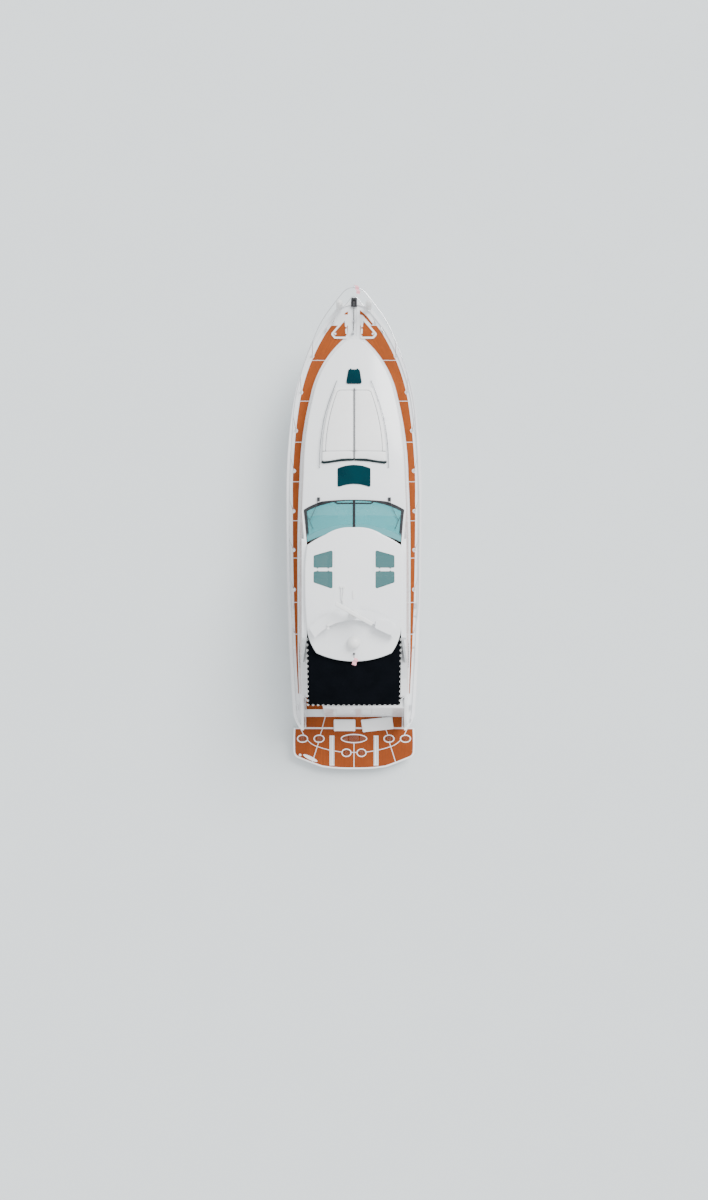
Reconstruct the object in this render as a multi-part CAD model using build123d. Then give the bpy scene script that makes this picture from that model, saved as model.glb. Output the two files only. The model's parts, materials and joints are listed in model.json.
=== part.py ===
from build123d import *
import os
from math import asin, atan2, cos, degrees, radians, sin, sqrt, tan

os.makedirs("parts", exist_ok=True)

# Millimetres. +X forward, +Y to port, +Z up. The origin is amidships on the centreline at the
# waterline, so everything with a negative Z is under water.

# Sheer: the deck line is one arc in side view, lowest near the stern
sheer_low_x = -5000
sheer_low_z = 1560
sheer_radius = 124000
sheer_centre_z = sheer_low_z + sheer_radius

# Plan cutters on the deck reach from the lower to the upper of these heights
cut_low = 1000
cut_high = 2700
# A shape that stands on its origin
standing = (Align.CENTER, Align.CENTER, Align.MIN)

# A piece at rest on another, the same between curved pieces, and a pin in its bore
seat_gap = 0.3
curve_gap = 0.8
pin_gap = 0.08

# Hull ends and skin
transom_x = -6560
deck_thick = 120
hull_depth_reach = 4000
side_reach = 3200
end_reach = 9500

# Hull lines, faired between these stations.
# Columns: x, keel z, chine half width, chine z, bulge of the topside, half width at the deck
hull_lines = (
    (-6560, -620, 1800, -150, 25, 1985),
    (-3000, -780, 1960, -190, 25, 2180),
    (1000, -850, 1930, -110, 15, 2250),
    (4000, -720, 1520, 130, -45, 2090),
    (5600, -380, 960, 420, -75, 1710),
    (6700, 230, 450, 880, -75, 1180),
    (7350, 1150, 160, 1480, -45, 690),
    (7700, 1985, 45, 2035, -5, 190),
)
hull_station_step = 900
bow_station_step = 350
bow_stations_from = 4000
chine_flat = 70

# Deck edge in plan: x and half width, every second row the middle of an arc
deck_edge = (
    (7730, 0),
    (7655, 340),
    (7450, 610),
    (7150, 860),
    (6820, 1107),
    (5840, 1615),
    (4550, 1995),
    (2900, 2195),
    (1200, 2250),
    (-2700, 2198),
    (-5850, 2040),
    (-6250, 1925),
    (-6480, 1745),
)
# Foot of the coachroof and cabin sides in plan, laid out the same way
cabin_edge = (
    (6600, 0),
    (6585, 230),
    (6500, 360),
    (5840, 940),
    (4660, 1435),
    (3520, 1672),
    (2030, 1800),
    (730, 1860),
    (-500, 1880),
    (-2250, 1880),
    (-4000, 1870),
    (-5300, 1830),
    (-6600, 1780),
)

# Gunwale and teak
gunwale_width = 95
gunwale_rise = 45
rub_rail_out = 30
rub_rail_span = (-105, -45)
teak_thick = 12
teak_edge_margin = 200
teak_cabin_margin = 22
teak_seam = 26
teak_margin = 22
teak_seam_x = (5850, 4520, 3170, 1860, 560, -690, -2180, -3250)
teak_fore_x = 6970
teak_aft_x = -5250
teak_locker_margin = 8
scallop_margin = 30
# Slips of teak ahead of the bow lockers, starboard then port: corners in plan
teak_slips = (
    ((7468, -195), (7400, -278), (7253, -443), (7020, -625), (6985, -590), (7165, -420), (7310, -285),
     (7330, -195)),
    ((7330, 200), (7330, 320), (7385, 284), (7420, 200)),
)

# Coachroof
roof_top_x = 300
roof_top_z = 2840
roof_long_radius = 32000
roof_cross_radius = 6500
roof_lean = 8.5
roof_foot_z = 1500
roof_aft_x = 640
roof_round = 60

# Forward cabin under the foredeck hatch
berth_floor_z = 750
berth_fore_x = 5600
berth_aft_x = 2600
berth_inset = 330
berth_thick = 160
berth_shell = 70
berth_gap = 3

# Sunpad, two cushions side by side: x and half width of their outer edge
sunpad_thick = 90
sunpad_split = 14
sunpad_edge = ((4860, 615), (3800, 935), (2400, 1055))
# Its after edge, from the centreline out, every second row the middle of an arc
sunpad_aft = ((2448, 310), (2412, 600), (2385, 800), (2375, 1000))
sunpad_corner = 55
sunpad_lift = 1

# Foredeck hatch and deck skylight
hatch_fore_x = 5455
hatch_aft_x = 4965
hatch_fore_half = 185
hatch_aft_half = 265
hatch_corner = 60
hatch_rim = 26
hatch_rim_rise = 20
hatch_pane_thick = 18
hatch_lift = 3
hatch_barrel = 14
hatch_hinge_y = 110
hatch_hinge_wide = 50
lid_gap = 5
skylight_fore_x = 2275
skylight_aft_x = 1650
skylight_half = 535
skylight_bow = 110
skylight_corner = 50

# Windscreen: one swept face between a lower and an upper arc
glass_low_z = 2300
glass_low_x = 1880
glass_low_corner = (1180, 1690)
glass_top_z = 4050
glass_top_x = -262
glass_top_corner = (-640, 1400)
glass_thick = 14
screen_frame_thick = 40
mullion_width = 80
screen_band_low = 95
screen_band_top = 120
# Outer ends of the panes: half width and height, low and high
pane_ends = ((1560, 2500), (1400, 3700))
# Black band on the glass round the demister box: x it reaches, half width, width and corner
demister_x = 985
demister_half = 670
demister_reach = 2400
demister_band = 48
demister_corner = 170

# Wipers: the arm's foot on the coachroof, then arm and blade as distance from the centreline and height
wiper_foot = (1165, 1150)
wiper_arm = ((1235, 2900), (1400, 3150))
wiper_blade = ((1515, 2880), (1290, 3440))
wiper_lift = 42
wiper_box = (120, 90, 55)
wiper_tube = 16

# Cabin sides: a leaning wall with a gutter rail, window openings and a raked leg aft
wall_thick = 70
wall_lean = 8.5
wall_top_z = 3900
wall_low_z = 1400
gutter_out = 80
gutter_in = 60
gutter_low_z = 3545
gutter_high_z = 3665
pillar_gap = 55
pillar_foot_z = 2530
leg_rows = ((-3130, 3900), (-3500, 3300))
# Top edge of the cockpit coaming: x, z
coaming_rows = ((-4150, 2330), (-4700, 2130), (-5500, 2080), (-6100, 1850), (-6430, 1560))
cap_fore_x = -3000
cap_aft_x = -5320
cap_width = 245
cap_deep = 150
# Side windows, two a side: the corners of each opening in side view, x and z
side_windows = (
    ((430, 2660), (-330, 3470), (-1560, 3490), (-1560, 2640)),
    ((-1690, 2640), (-1690, 3490), (-2560, 3470), (-3150, 2660)),
)
window_corner = 90
side_glass_in = 30
side_glass_thick = 16

# Cockpit well and floors
well_half = 1690
well_fore_x = 1150
well_aft_x = -5450
sole_z = 1060
sole_thick = 100
platform_z = 450
engine_room = (-5200, -1700, 1350, -250)
engine_size = (1650, 760, 900)
engine_place = (-3300, 680)
engine_seat_z = -250
notch_fore_x = -5850

# Transom moulding
transom_top_x = -5690
transom_top_z = 1990
transom_foot_x = -6130
transom_foot_z = 620
transom_port_y = 1030
transom_round = 60
seat_back_x = -5330
locker_half = 600
locker_low_z = 640
locker_high_z = 1780
locker_fore_x = -5500
door_thick = 40
door_barrel = 13
door_hinge_y = 400
step_count = 3
step_rise = (sole_z - platform_z) / step_count
step_aft_x = -6130
step_going = 220

# Hardtop
top_centre_x = -1900
top_crown_z = 4010
top_long_radius = 15000
top_cross_radius = 7600
top_thick = 120
top_edge = (
    (170, 0),
    (120, 520),
    (-60, 900),
    (-190, 1170),
    (-380, 1470),
    (-900, 1525),
    (-1500, 1535),
    (-2300, 1520),
    (-3000, 1470),
    (-3400, 1375),
    (-3760, 1180),
    (-3922, 737),
    (-4020, 0),
)
top_round = 45

# Glazed roof hatches: two each side of a cross bar
pane_in_y = 666
pane_out_y = 1264
pane_bar_x = -1150
pane_bar_half = 55
pane_fore_in_x = -543
pane_fore_out_x = -709
pane_aft_in_x = -1760
pane_aft_out_x = -1555
pane_thick = 26
pane_gap = 6
pane_rise = 6
pane_corner = 50
pane_hinge_inset = 14
pane_hinge_apart = 170
pane_hinge_wide = 44
pane_barrel = 8
pane_leaf = 60

# Seams scribed in the hardtop beside the sliding panel, port then starboard: three points of each arc
seam_wide = 14
seam_deep = 8
top_seams = (
    ((-480, 610), (-1150, 608), (-1900, 625)),
    ((-1900, 625), (-2440, 810), (-2900, 1240)),
    ((-560, -610), (-930, -608), (-1300, -612)),
)

# Radar wing, radar and dome
wing_thick = 110
wing_lift = 130
# Edges of the crescent, forward and after: end, middle and centreline in plan
wing_fore = ((-2960, 1400), (-2560, 850), (-2390, 0))
wing_aft = ((-3270, 1210), (-2880, 700), (-2720, 0))
wing_foot = (-3120, -2760, 760, 1240)
wing_post = (-2700, -2420, 170)
pod_corners = ((-2690, -690), (-2740, -1120), (-2990, -1310), (-3190, -1130), (-2960, -640))
pod_corner = 90
pod_high = 45
pedestal_x = -2525
pedestal_radius = 150
pedestal_high = 330
array_length = 1290
array_width = 120
array_high = 90
array_turn = 60.4
array_neck = 24
neck_radius = 60
dome_x = -3420
dome_radius = 200
dome_high = 270

# Awning abaft the hardtop
awning_aft_x = -5470
awning_half = 1480
awning_fore_x = -3170
awning_radius = 4300
awning_bar_inset = 30
awning_thick = 14
awning_tube = 32
awning_batten = 30
awning_corner_in = 45
awning_foot_x = -5300
awning_foot_y = 1650
awning_foot_radius = 34
awning_foot_high = 14
awning_foot_lift = 3

# Guard rails: top rail x and half width, then stanchion base and top
rail_high = 700
rail_tube = 32
rail_plan = (
    (7960, 230),
    (7575, 560),
    (6930, 1060),
    (5640, 1620),
    (4350, 1955),
    (2555, 2075),
    (1180, 2135),
    (-1320, 2125),
    (-2600, 2100),
)
rail_foot = (-3200, 2010)
# Low rail round the stem: x, half width, height above the deck
stem_rail = ((7040, 700, -16), (7260, 585, 330), (7530, 280, 335), (7800, 60, 335))
jack_high = 430
jack_rake = 60
# Columns: base x, base half width, top x
stanchions = (
    (5980, 1388, 6290),
    (4810, 1760, 5150),
    (3550, 1940, 3890),
    (2220, 2010, 2555),
    (880, 2035, 1180),
    (-420, 2035, -120),
    (-1750, 2025, -1320),
)
stanchion_tube = 26
base_radius = 42
base_high = 16

# Fenders standing inside the bow rail
fender_x = 7520
fender_y = 478
fender_radius = 105
fender_high = 600
fender_round = 84
fender_eye = 26
fender_eye_high = 40

# Bow lockers: plan corners of the port lid
locker_corners = ((7270, 255), (6690, 770), (6545, 640), (6545, 205))
locker_corner = 70
lid_border = 60
lid_thick = 32
lid_ledge = 24
lid_seat = 9
lid_side_gap = 10
lid_tip_cut = 45
rim_high = 40
lid_barrel = 9
lid_hinge_x = 6780
lid_hinge_apart = 110
lid_hinge_wide = 50
locker_depth = 420

# Anchor gear: the channel down the middle of the foredeck, windlass, chain and stem roller
channel_fore_x = 7900
channel_aft_x = 6640
channel_half = 85
channel_deep = 22
windlass_x = 6730
windlass_y = 34
windlass_radius = 40
windlass_high = 150
windlass_plate = 12
gypsy_radius = 46
gypsy_high = 44
gypsy_groove = 11
stopper_x = 7110
stopper_long = 90
stopper_high = 60
stopper_gap = 22
roller_x = 7790
roller_radius = 42
roller_cheek_y = 50
roller_cheek = 12
roller_plate_lap = 14
roller_aft_x = 7560
roller_fore_x = 7850
roller_high = 110

# Deck fittings: x and half width of each pair, then a cleat's sizes
cleats = ((6800, 942), (-2300, 2058), (-5720, 1893))
cleat_long = 230
cleat_high = 62
cleat_rod = 24
cleat_base = 22
filler_caps = ((-2640, 2050), (-3700, 2010))
cap_radius = 38
cap_rise = 8
quarter_plate = (-6170, 1895, 75, 26)

# Grab rails beside the sunpad: x, half width of each bend, and their height
grab_plan = ((5060, 560), (4440, 795), (3790, 985), (3000, 1098), (2210, 1125))
grab_high = 62
grab_tube = 22

# On the hardtop: twin horn, lamp strip, receiver caps and the ensign staff
horn_place = (-1690, 360)
horn_long = 430
horn_base = (30, 75, 45)
horn_apart = 42
horn_tube = 26
trumpet_z = (34, 52)
bell_long = 60
bell_wide = 62
lamp_place = (-1930, 15)
lamp_size = (260, 60, 22)
receivers = ((-2880, 800), (-2980, 800))
receiver_radius = 45
receiver_high = 60
ensign_x = -3780
ensign_bend = 130
ensign_rake = 95
ensign_high = 380
ensign_base = 34
staff_tube = 22

# Swim platform
platform_seam_x = -6568
platform_rows = (
    (-6568, 2105),
    (-6980, 2118),
    (-7390, 2112),
    (-7525, 2062),
    (-7615, 1935),
    (-7790, 1500),
    (-7930, 1110),
    (-7984, 640),
    (-8000, 0),
)
platform_thick = 130
platform_margin = 62
platform_bevel = 14
platform_teak_thick = 7
inlay_wide = 28
fixed_seam = ((-6100, 985), (-6600, 1119))
notch_teak_half = 1900
# Curved inlay across the platform, laid out like the deck edge
inlay_rows = ((-7426, 0), (-7385, 640), (-7237, 1242), (-7130, 1480), (-6985, 1640))
# Straight inlay seams on the port side, start and end in plan
inlay_seams = (
    ((-6560, 1870), (-6940, 1690)),
    ((-6560, 1090), (-6900, 1215)),
    ((-6950, 1200), (-7760, 1455)),
    ((-6950, 0), (-8000, 0)),
)
# Drain grates: x, y, half length along the boat, half width across it
grates = (
    (-6935, 1795, 140, 192),
    (-6935, 1220, 140, 192),
    (-6935, -1220, 140, 192),
    (-6935, -1795, 140, 192),
    (-6930, 0, 160, 460),
    (-7426, 262, 146, 174),
    (-7426, -262, 146, 174),
)
grate_ring = 34
grate_rise = 10
grate_deep = 34
slat_wide = 24
slat_pitch = 38
bearer_share = 0.4
bearer_thick = 12
# Chock tracks: fore and after end, half width to the middle of each, half width of one
chock_tracks = (-6830, -7870, 768, 82)
track_groove = 34
track_end = 20
# Bathing ladder's cover: x, y, half length, half width and turn
ladder_cover = (-7610, 1525, 270, 62, 64)
cushion_thick = 90
cushion_corner = 50
cushion_corners = (
    ((-6238, 723), (-6238, -66), (-6680, -66), (-6680, 723)),
    ((-6133, -1346), (-6255, -216), (-6724, -292), (-6603, -1405)),
)
# Lift arms: length, angle at rest, and how far under the platform their after pivots hang
arm_length = 800
arm_angle = 42
arm_drop = 110
arm_y = 450
arm_width = 70
arm_thick = 54
arm_cross = 50
arm_pin = 28
arm_stand_off = 75
eye_radius = 36
lug_radius = 40
lug_thick = 18

# Propellers, shafts and rudders
prop_x = -5450
prop_y = 800
prop_z = -890
prop_radius = 320
shaft_angle = 8
shaft_radius = 22
shaft_length = 2650
shaft_clearance = 0.6
strut_x = 215
blade_count = 4
blade_turn = 32
blade_half_thick = 9
# Along the radius: blade centre, half length and half width, as shares of the propeller's radius
blade_shares = (0.58, 0.42, 0.34)
hub_radius = 70
hub_long = 190
hub_round = 20
barrel_radius = 44
strut_half = (85, 11)
rudder_x = -6080
rudder_aft_shift = 60
rudder_top_z = -490
stock_radius = 22
stock_high = 130
rudder_y = 830
rudder_chord = 420
rudder_high = 520
rudder_thick = 55

# Helm
helm_y = -950
wheel_x = -180
wheel_z = 2010
wheel_tilt = 62
wheel_column = 60
wheel_hub = 42
console_half = 1560
wheel_radius = 200
wheel_tube = 15
wheel_spokes = 3
spoke_wide = 30
spoke_thick = 10
console_high_z = 2380
# How far the console's sloping face runs above and below the wheel's column
console_face = (130, 120)
# Steps of the console's outline above the face and below it: x, z, then x of its foot
console_brow = (150, 110)
console_knee = (150, -60)
console_foot = 190

# Furniture. Columns: aft x, fore x, y, y, top z
helm_plinth = (-1150, -700, -1450, -500, 1560)
helm_squab = (-1230, -620, -1540, -410, 1700)
helm_squab_round = 45
# Backrests: aft x, fore x, low z, high z, then the two spans across the boat
helm_back = (-1330, -1180, 1640, 2260)
helm_back_spans = ((-1540, -985), (-965, -410))
helm_back_round = 50
furniture_gap = 6
settee_base = (-2900, -600, 900, well_half - furniture_gap, 1500)
settee_back = (-2900, -600, 1480, well_half - furniture_gap, 2050)
settee_back_round = 60
settee_squab = (-2890, -610, 890, 1460, 1600)
squab_round = 35
squab_sunk = 10
bar_top = (-3000, -1900, furniture_gap - well_half, -1050, 1960)
bar_round = 40
basin = (-2750, -2350, -1500, -1200, 1800)
basin_round = 60
table_leg = (-1750, 300, 60)
table_leaf = (-2300, -1200, 0, 640)
table_high = 700
table_thick = 35
table_round = 90
aft_seat_deep = 600
aft_seat_z = 1400
aft_squab_thick = 100


def deck_z(x, above=0):
    # Height of the deck line at x, or of a surface parallel to it
    reach = sheer_radius - above
    return sheer_centre_z - sqrt(reach * reach - (x - sheer_low_x) ** 2)


def deck_layer(low, high, aft=-end_reach, fore=end_reach):
    # The layer between two heights above the deck line, across the whole beam
    middle = (aft + fore) / 2
    lower = ThreePointArc(*[(x, 0, deck_z(x, low)) for x in (aft, middle, fore)])
    upper = ThreePointArc(*[(x, 0, deck_z(x, high)) for x in (aft, middle, fore)])
    face = Face(Wire([lower, Line(lower @ 1, upper @ 1), upper, Line(upper @ 0, lower @ 0)]))
    return extrude(face, side_reach, dir=(0, 1, 0), both=True)


def plan_face(rows):
    # A plan outline, mirrored about the centreline, from rows of x and half width
    edges = []
    for start, middle, end in zip(rows[0::2], rows[1::2], rows[2::2]):
        edges.append(ThreePointArc(start, middle, end))
    edges += [edge.mirror(Plane.XZ) for edge in edges]
    for x, half in (rows[0], rows[-1]):
        if half:
            edges.append(Line((x, half), (x, -half)))
    return make_face(edges)


def outward(start, middle, end):
    # Unit normals, away from the centreline, at the three points of an arc in plan
    start, middle, end = (Vector(*point) for point in (start, middle, end))
    chord = end - start
    sag = (middle - (start + end) * 0.5)
    away = Vector(-chord.Y, chord.X).normalized()
    if away.Y < 0:
        away = away * -1
    rise = sag.dot(away)
    bend = 4 * atan2(rise, chord.length / 2)
    along = chord.normalized() * -1
    return [(away * cos(turn) + along * sin(turn)) for turn in (bend / 2, 0, -bend / 2)]


def grown(rows, amount):
    # The outline moved outwards, or inwards with a negative amount
    normals = [[] for _ in rows]
    for i in range(0, len(rows) - 2, 2):
        for k, normal in enumerate(outward(*rows[i:i + 3])):
            normals[i + k].append(normal)
    moved = []
    for (x, half), found in zip(rows, normals):
        normal = sum(found[1:], found[0]).normalized()
        if half == 0:
            normal = Vector(1 if x > 0 else -1, 0)
        moved.append((x + normal.X * amount, half + normal.Y * amount))
    return tuple(moved)


def corner_face(points):
    return make_face(Polyline(*points, close=True))


def prism(face, low, high):
    return extrude(Pos(0, 0, low) * face, high - low, dir=(0, 0, 1))


def leaning(rows, low, high, lean):
    # A prism on a plan outline whose sides lean in by an angle, less towards the bow
    inset = (high - low) * tan(radians(lean))
    widest = max(half for _, half in rows)
    top = [(x - inset * max(0, x / rows[0][0]) ** 3, half * (1 - inset / widest)) for x, half in rows]
    sections = [(Pos(0, 0, z) * plan_face(outline)).face().outer_wire()
                for z, outline in ((low, rows), (high, top))]
    return Solid.make_loft(sections, ruled=True)


def block(x0, x1, y0, y1, z0, z1):
    return Pos((x0 + x1) / 2, (y0 + y1) / 2, (z0 + z1) / 2) * Box(abs(x1 - x0), abs(y1 - y0), abs(z1 - z0))


def side_profile(points, y0, y1):
    # A shape drawn in side view, x and z, between two distances from the centreline
    face = make_face(Polyline(*[(x, y0, z) for x, z in points], close=True))
    return extrude(face, y1 - y0, dir=(0, 1, 0))


def crowned(centre_x, top_z, long_radius, cross_radius, low, high, half=side_reach, reach=9000):
    # A doubly curved layer: an arc across the beam swept along an arc in side view
    def height(y, offset):
        return top_z + offset - cross_radius + sqrt(cross_radius ** 2 - y * y)

    rows = []
    for offset in (low, high):
        rows.append(ThreePointArc(*[(centre_x, y, height(y, offset)) for y in (-half, 0, half)]))
    lower, upper = rows
    face = Face(Wire([lower, Line(lower @ 1, upper @ 1), upper, Line(upper @ 0, lower @ 0)]))
    axis = Axis((centre_x, 0, top_z - long_radius), (0, 1, 0))
    turn = degrees(asin(reach / long_radius))
    return revolve(face.rotate(axis, -turn), axis, 2 * turn)


def roof_layer(low, high):
    return crowned(roof_top_x, roof_top_z, roof_long_radius, roof_cross_radius, low, high, half=2300)


def top_layer(low, high):
    return crowned(top_centre_x, top_crown_z, top_long_radius, top_cross_radius, low, high, 2000, 3200)


def roof_z(x, y=0):
    # Height of the coachroof's top surface
    rise = roof_cross_radius - sqrt(roof_cross_radius ** 2 - y * y)
    radius = roof_long_radius - rise
    return roof_top_z - roof_long_radius + sqrt(radius ** 2 - (x - roof_top_x) ** 2)


def top_z(x, y=0):
    # Height of the hardtop's top surface
    rise = top_cross_radius - sqrt(top_cross_radius ** 2 - y * y)
    radius = top_long_radius - rise
    return top_crown_z - top_long_radius + sqrt(radius ** 2 - (x - top_centre_x) ** 2)


def tube_path(points):
    # Straight runs joined by arcs as large as the runs allow
    points = [Vector(*point) for point in points]
    radii = []
    for before, here, after in zip(points, points[1:], points[2:]):
        run = min((here - before).length, (after - here).length)
        turn = radians((here - before).get_angle(after - here))
        radii.append(0.45 * run / tan(turn / 2))
    return FilletPolyline(*points, radius=radii)


def tube(points, diameter):
    path = tube_path(points)
    return sweep(Plane(path @ 0, z_dir=path % 0) * Circle(diameter / 2), path)


def point_at(path, x):
    # The point of the path's first half at a given x, found by halving
    low, high = 0, 0.5
    for _ in range(30):
        middle = (low + high) / 2
        if (path @ middle).X < x:
            low = middle
        else:
            high = middle
    return path @ low


def rod(start, end, diameter):
    start, end = Vector(*start), Vector(*end)
    return extrude(Plane(start, z_dir=end - start) * Circle(diameter / 2), (end - start).length)


def both_sides(shape):
    return [shape, mirror(shape, Plane.XZ)]


def faired(x):
    # Hull lines at any station, by a smooth cubic through the table's rows
    rows = hull_lines
    k = max(i for i in range(len(rows) - 1) if rows[i][0] <= x or i == 0)
    span = rows[k + 1][0] - rows[k][0]
    share = (x - rows[k][0]) / span

    def slope(i, column):
        ends = rows[max(i - 1, 0)], rows[min(i + 1, len(rows) - 1)]
        return (ends[1][column] - ends[0][column]) / (ends[1][0] - ends[0][0])

    values = []
    for column in range(1, len(rows[0])):
        a, b = rows[k][column], rows[k + 1][column]
        rise_a, rise_b = span * slope(k, column), span * slope(k + 1, column)
        values.append(a * (1 + 2 * share) * (1 - share) ** 2 + rise_a * share * (1 - share) ** 2
                      + b * share ** 2 * (3 - 2 * share) + rise_b * share ** 2 * (share - 1))
    return values


def stations(start, end, step):
    count = max(1, round((end - start) / step))
    return [start + (end - start) * i / count for i in range(count)]


def hull_section(x):
    keel, chine, chine_height, bulge, half = faired(x)
    height = deck_z(x)
    outer = chine + chine_flat * min(1, chine / 900)
    middle = ((outer + half) / 2 + bulge, (chine_height + height) / 2)
    topside = ThreePointArc((x, outer, chine_height), (x, *middle), (x, half, height))
    port = [Line((x, 0, keel), (x, chine, chine_height)),
            Line((x, chine, chine_height), (x, outer, chine_height)), topside]
    starboard = [edge.mirror(Plane.XZ) for edge in port]
    return Wire(port + [Line((x, half, height), (x, -half, height))] + starboard[::-1])


def hull_body():
    first, last = hull_lines[0][0], hull_lines[-1][0]
    places = stations(first, bow_stations_from, hull_station_step)
    places += stations(bow_stations_from, last, bow_station_step) + [last]
    body = Solid.make_loft([hull_section(x) for x in places], ruled=True)
    return body & deck_layer(-hull_depth_reach, -deck_thick)


def make_hull():
    body = hull_body() - well_space()
    aft, fore, half, floor = engine_room
    body -= block(aft, fore, -half, half, floor, sole_z)
    body -= transom_space()
    body -= quarter_notch()
    body -= berth_space(berth_floor_z, 2600)
    for side in (1, -1):
        body -= shaft_frame(side) * Pos(shaft_length / 2, 0, 0) * Rot(0, 90, 0) * Cylinder(
            shaft_radius + shaft_clearance, shaft_length + 8)
        body -= Pos(rudder_x, side * rudder_y, rudder_top_z) * Cylinder(
            stock_radius + shaft_clearance, 2 * stock_high + 8)
    for well in locker_wells():
        body -= well
    for bracket in make_arm_brackets():
        body += bracket
    return body


def gunwale(low, high):
    # The raised rim round the deck, between two heights above the deck line
    inside = prism(plan_face(grown(deck_edge, -gunwale_width)), cut_low, cut_high)
    rim = prism(plan_face(deck_edge), cut_low, cut_high) - inside
    return rim & deck_layer(low, high)


def transom_space():
    # Above the fixed platform, abaft the cockpit
    return block(transom_x - 500, well_aft_x + 1, -well_half, well_half, platform_z, 3000)


def quarter_notch():
    # Outside the quarter wings the hull stops at the height of the swim platform
    region = block(transom_x - 500, notch_fore_x, -side_reach, side_reach, platform_z, 3000)
    return region - prism(plan_face(deck_edge), platform_z - 1, 3001)


def locker_wells():
    # The two wells under the bow locker lids
    low = deck_z(locker_corners[2][0]) - locker_depth
    return both_sides(prism(lid_outline(lid_border + lid_ledge), low, 2700))


def well_space():
    # Helm deck and cockpit, down to the underside of the sole
    return block(well_aft_x, well_fore_x, -well_half, well_half, sole_z - sole_thick, 3000)


def berth_space(low, high, inset=0):
    # Forward cabin, its sides set in from the foot of the coachroof
    outline = plan_face(grown(cabin_edge, -berth_inset - inset))
    space = prism(outline, low, high)
    return space & block(berth_aft_x + inset, berth_fore_x - inset, -2000, 2000, low, high)


def make_deck():
    edge = plan_face(deck_edge)
    deck = prism(edge, 1000, 2600) & deck_layer(-deck_thick, 0)
    deck += gunwale(-1, gunwale_rise)
    deck -= well_space()
    deck -= transom_space()
    deck -= berth_space(1000, 2600)
    for well in locker_wells():
        deck -= well
    for rim in make_locker_rim():
        deck += rim
    return deck - anchor_channel(-channel_deep, 200)


def anchor_channel(low, high):
    channel = block(channel_aft_x, channel_fore_x, -channel_half, channel_half, 1500, 2700)
    return channel & deck_layer(low, high)


def make_rub_rail():
    edge = plan_face(deck_edge)
    ring = prism(plan_face(grown(deck_edge, rub_rail_out)), 1000, 2700) - prism(edge, 1000, 2700)
    ring = ring & deck_layer(*rub_rail_span)
    return ring - block(transom_x - 900, transom_x + 500, -3000, 3000, 0, 3000)


def make_teak():
    # Planked side decks: the strip between the gunwale and the cabin, cut at the white seams
    strip = plan_face(grown(deck_edge, -teak_edge_margin))
    strip -= plan_face(grown(cabin_edge, teak_cabin_margin))
    boards = prism(strip, 1000, 2600) & deck_layer(0, teak_thick)
    boards &= block(teak_aft_x, teak_fore_x, -3000, 3000, 1000, 2600)
    for x in teak_seam_x:
        boards -= block(x - teak_seam / 2, x + teak_seam / 2, -3000, 3000, 1000, 2700)
    inner = locker_corners[3][1]
    boards -= block(locker_corners[3][0] - lid_border, teak_fore_x, -inner, inner, 1500, 2700)
    bases = [(x, half) for x, half, _ in stanchions] + [stem_rail[0][:2]]
    for x, half in bases:
        for side in (1, -1):
            boards -= Pos(x, side * half, 2000) * Cylinder(base_radius + scallop_margin, 2000)
    lockers = prism(lid_outline(-teak_locker_margin), 1000, 2700)
    for part in both_sides(lockers):
        boards -= part
    for corners in teak_slips:
        boards += prism(corner_face(corners), 1000, 2700) & deck_layer(0, teak_thick)
    return list(boards.solids()) + fixed_platform_teak()


def fixed_platform_teak():
    # Planking on the fixed part of the platform, in the quarter notches and on the walkway's treads
    low, high = platform_z, platform_z + teak_thick
    aft = transom_x + teak_margin
    inner = well_half + teak_margin
    half = well_half - teak_margin
    fixed = block(aft, transom_foot_x - 2 * teak_margin, -half, half, low, high)
    boards = []
    for side in (1, -1):
        start, end = fixed_seam
        fixed -= seam_strip((start[0], side * start[1]), (end[0], side * end[1]), inlay_wide, low, high)
        notch = quarter_notch() & block(aft, notch_fore_x, side * inner, side * notch_teak_half, low, high)
        boards += list((notch - prism(plan_face(grown(deck_edge, teak_margin)), low - 1, high + 1)).solids())
    for i in range(1, step_count):
        fore = step_x(i + 1) if i + 1 < step_count else well_aft_x
        tread_z = platform_z + i * step_rise
        boards.append(block(fore - teak_margin, step_x(i) + teak_margin, transom_port_y + teak_margin,
                            well_half - 2 * teak_margin, tread_z, tread_z + teak_thick))
    return list(fixed.solids()) + boards


def step_x(i):
    # After edge of a walkway step
    return step_aft_x + step_going * i


def seam_strip(start, end, wide, low, high):
    # A straight strip in plan, as a cutter
    start, end = Vector(*start), Vector(*end)
    middle = (start + end) * 0.5
    run = end - start
    turn = degrees(atan2(run.Y, run.X))
    strip = Box(run.length, wide, high - low + 20)
    return Pos(middle.X, middle.Y, (low + high) / 2) * Rot(0, 0, turn) * strip


def roof_body(grow=0):
    # The coachroof with its rounded shoulder, or the same a little larger all round
    outline = grown(cabin_edge, grow) if grow else cabin_edge
    roof = leaning(outline, roof_foot_z, 3000, roof_lean) & roof_layer(-1800, grow)
    roof -= deck_layer(-2000, 0)
    roof -= block(-end_reach, roof_aft_x - grow, -3000, 3000, 0, 4000)
    crown = max(roof.faces(), key=lambda face: face.center().Z)
    shoulder = [edge for edge in crown.outer_wire().edges() if edge.center().X > roof_aft_x + 50]
    return fillet(shoulder, roof_round + grow)


def make_coachroof():
    roof = roof_body() - (berth_space(1000, 3000) & roof_layer(-2500, -berth_shell))
    roof -= prism(hatch_face(hatch_rim), 1000, 3200)
    return roof - prism(skylight_face(hatch_rim), 2000, 3200)


def hatch_face(inset=0):
    fore, aft = hatch_fore_x - inset, hatch_aft_x + inset
    fore_half, aft_half = hatch_fore_half - inset, hatch_aft_half - inset
    face = corner_face(((fore, fore_half), (aft, aft_half), (aft, -aft_half), (fore, -fore_half)))
    return fillet(face.vertices(), hatch_corner - inset)


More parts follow.
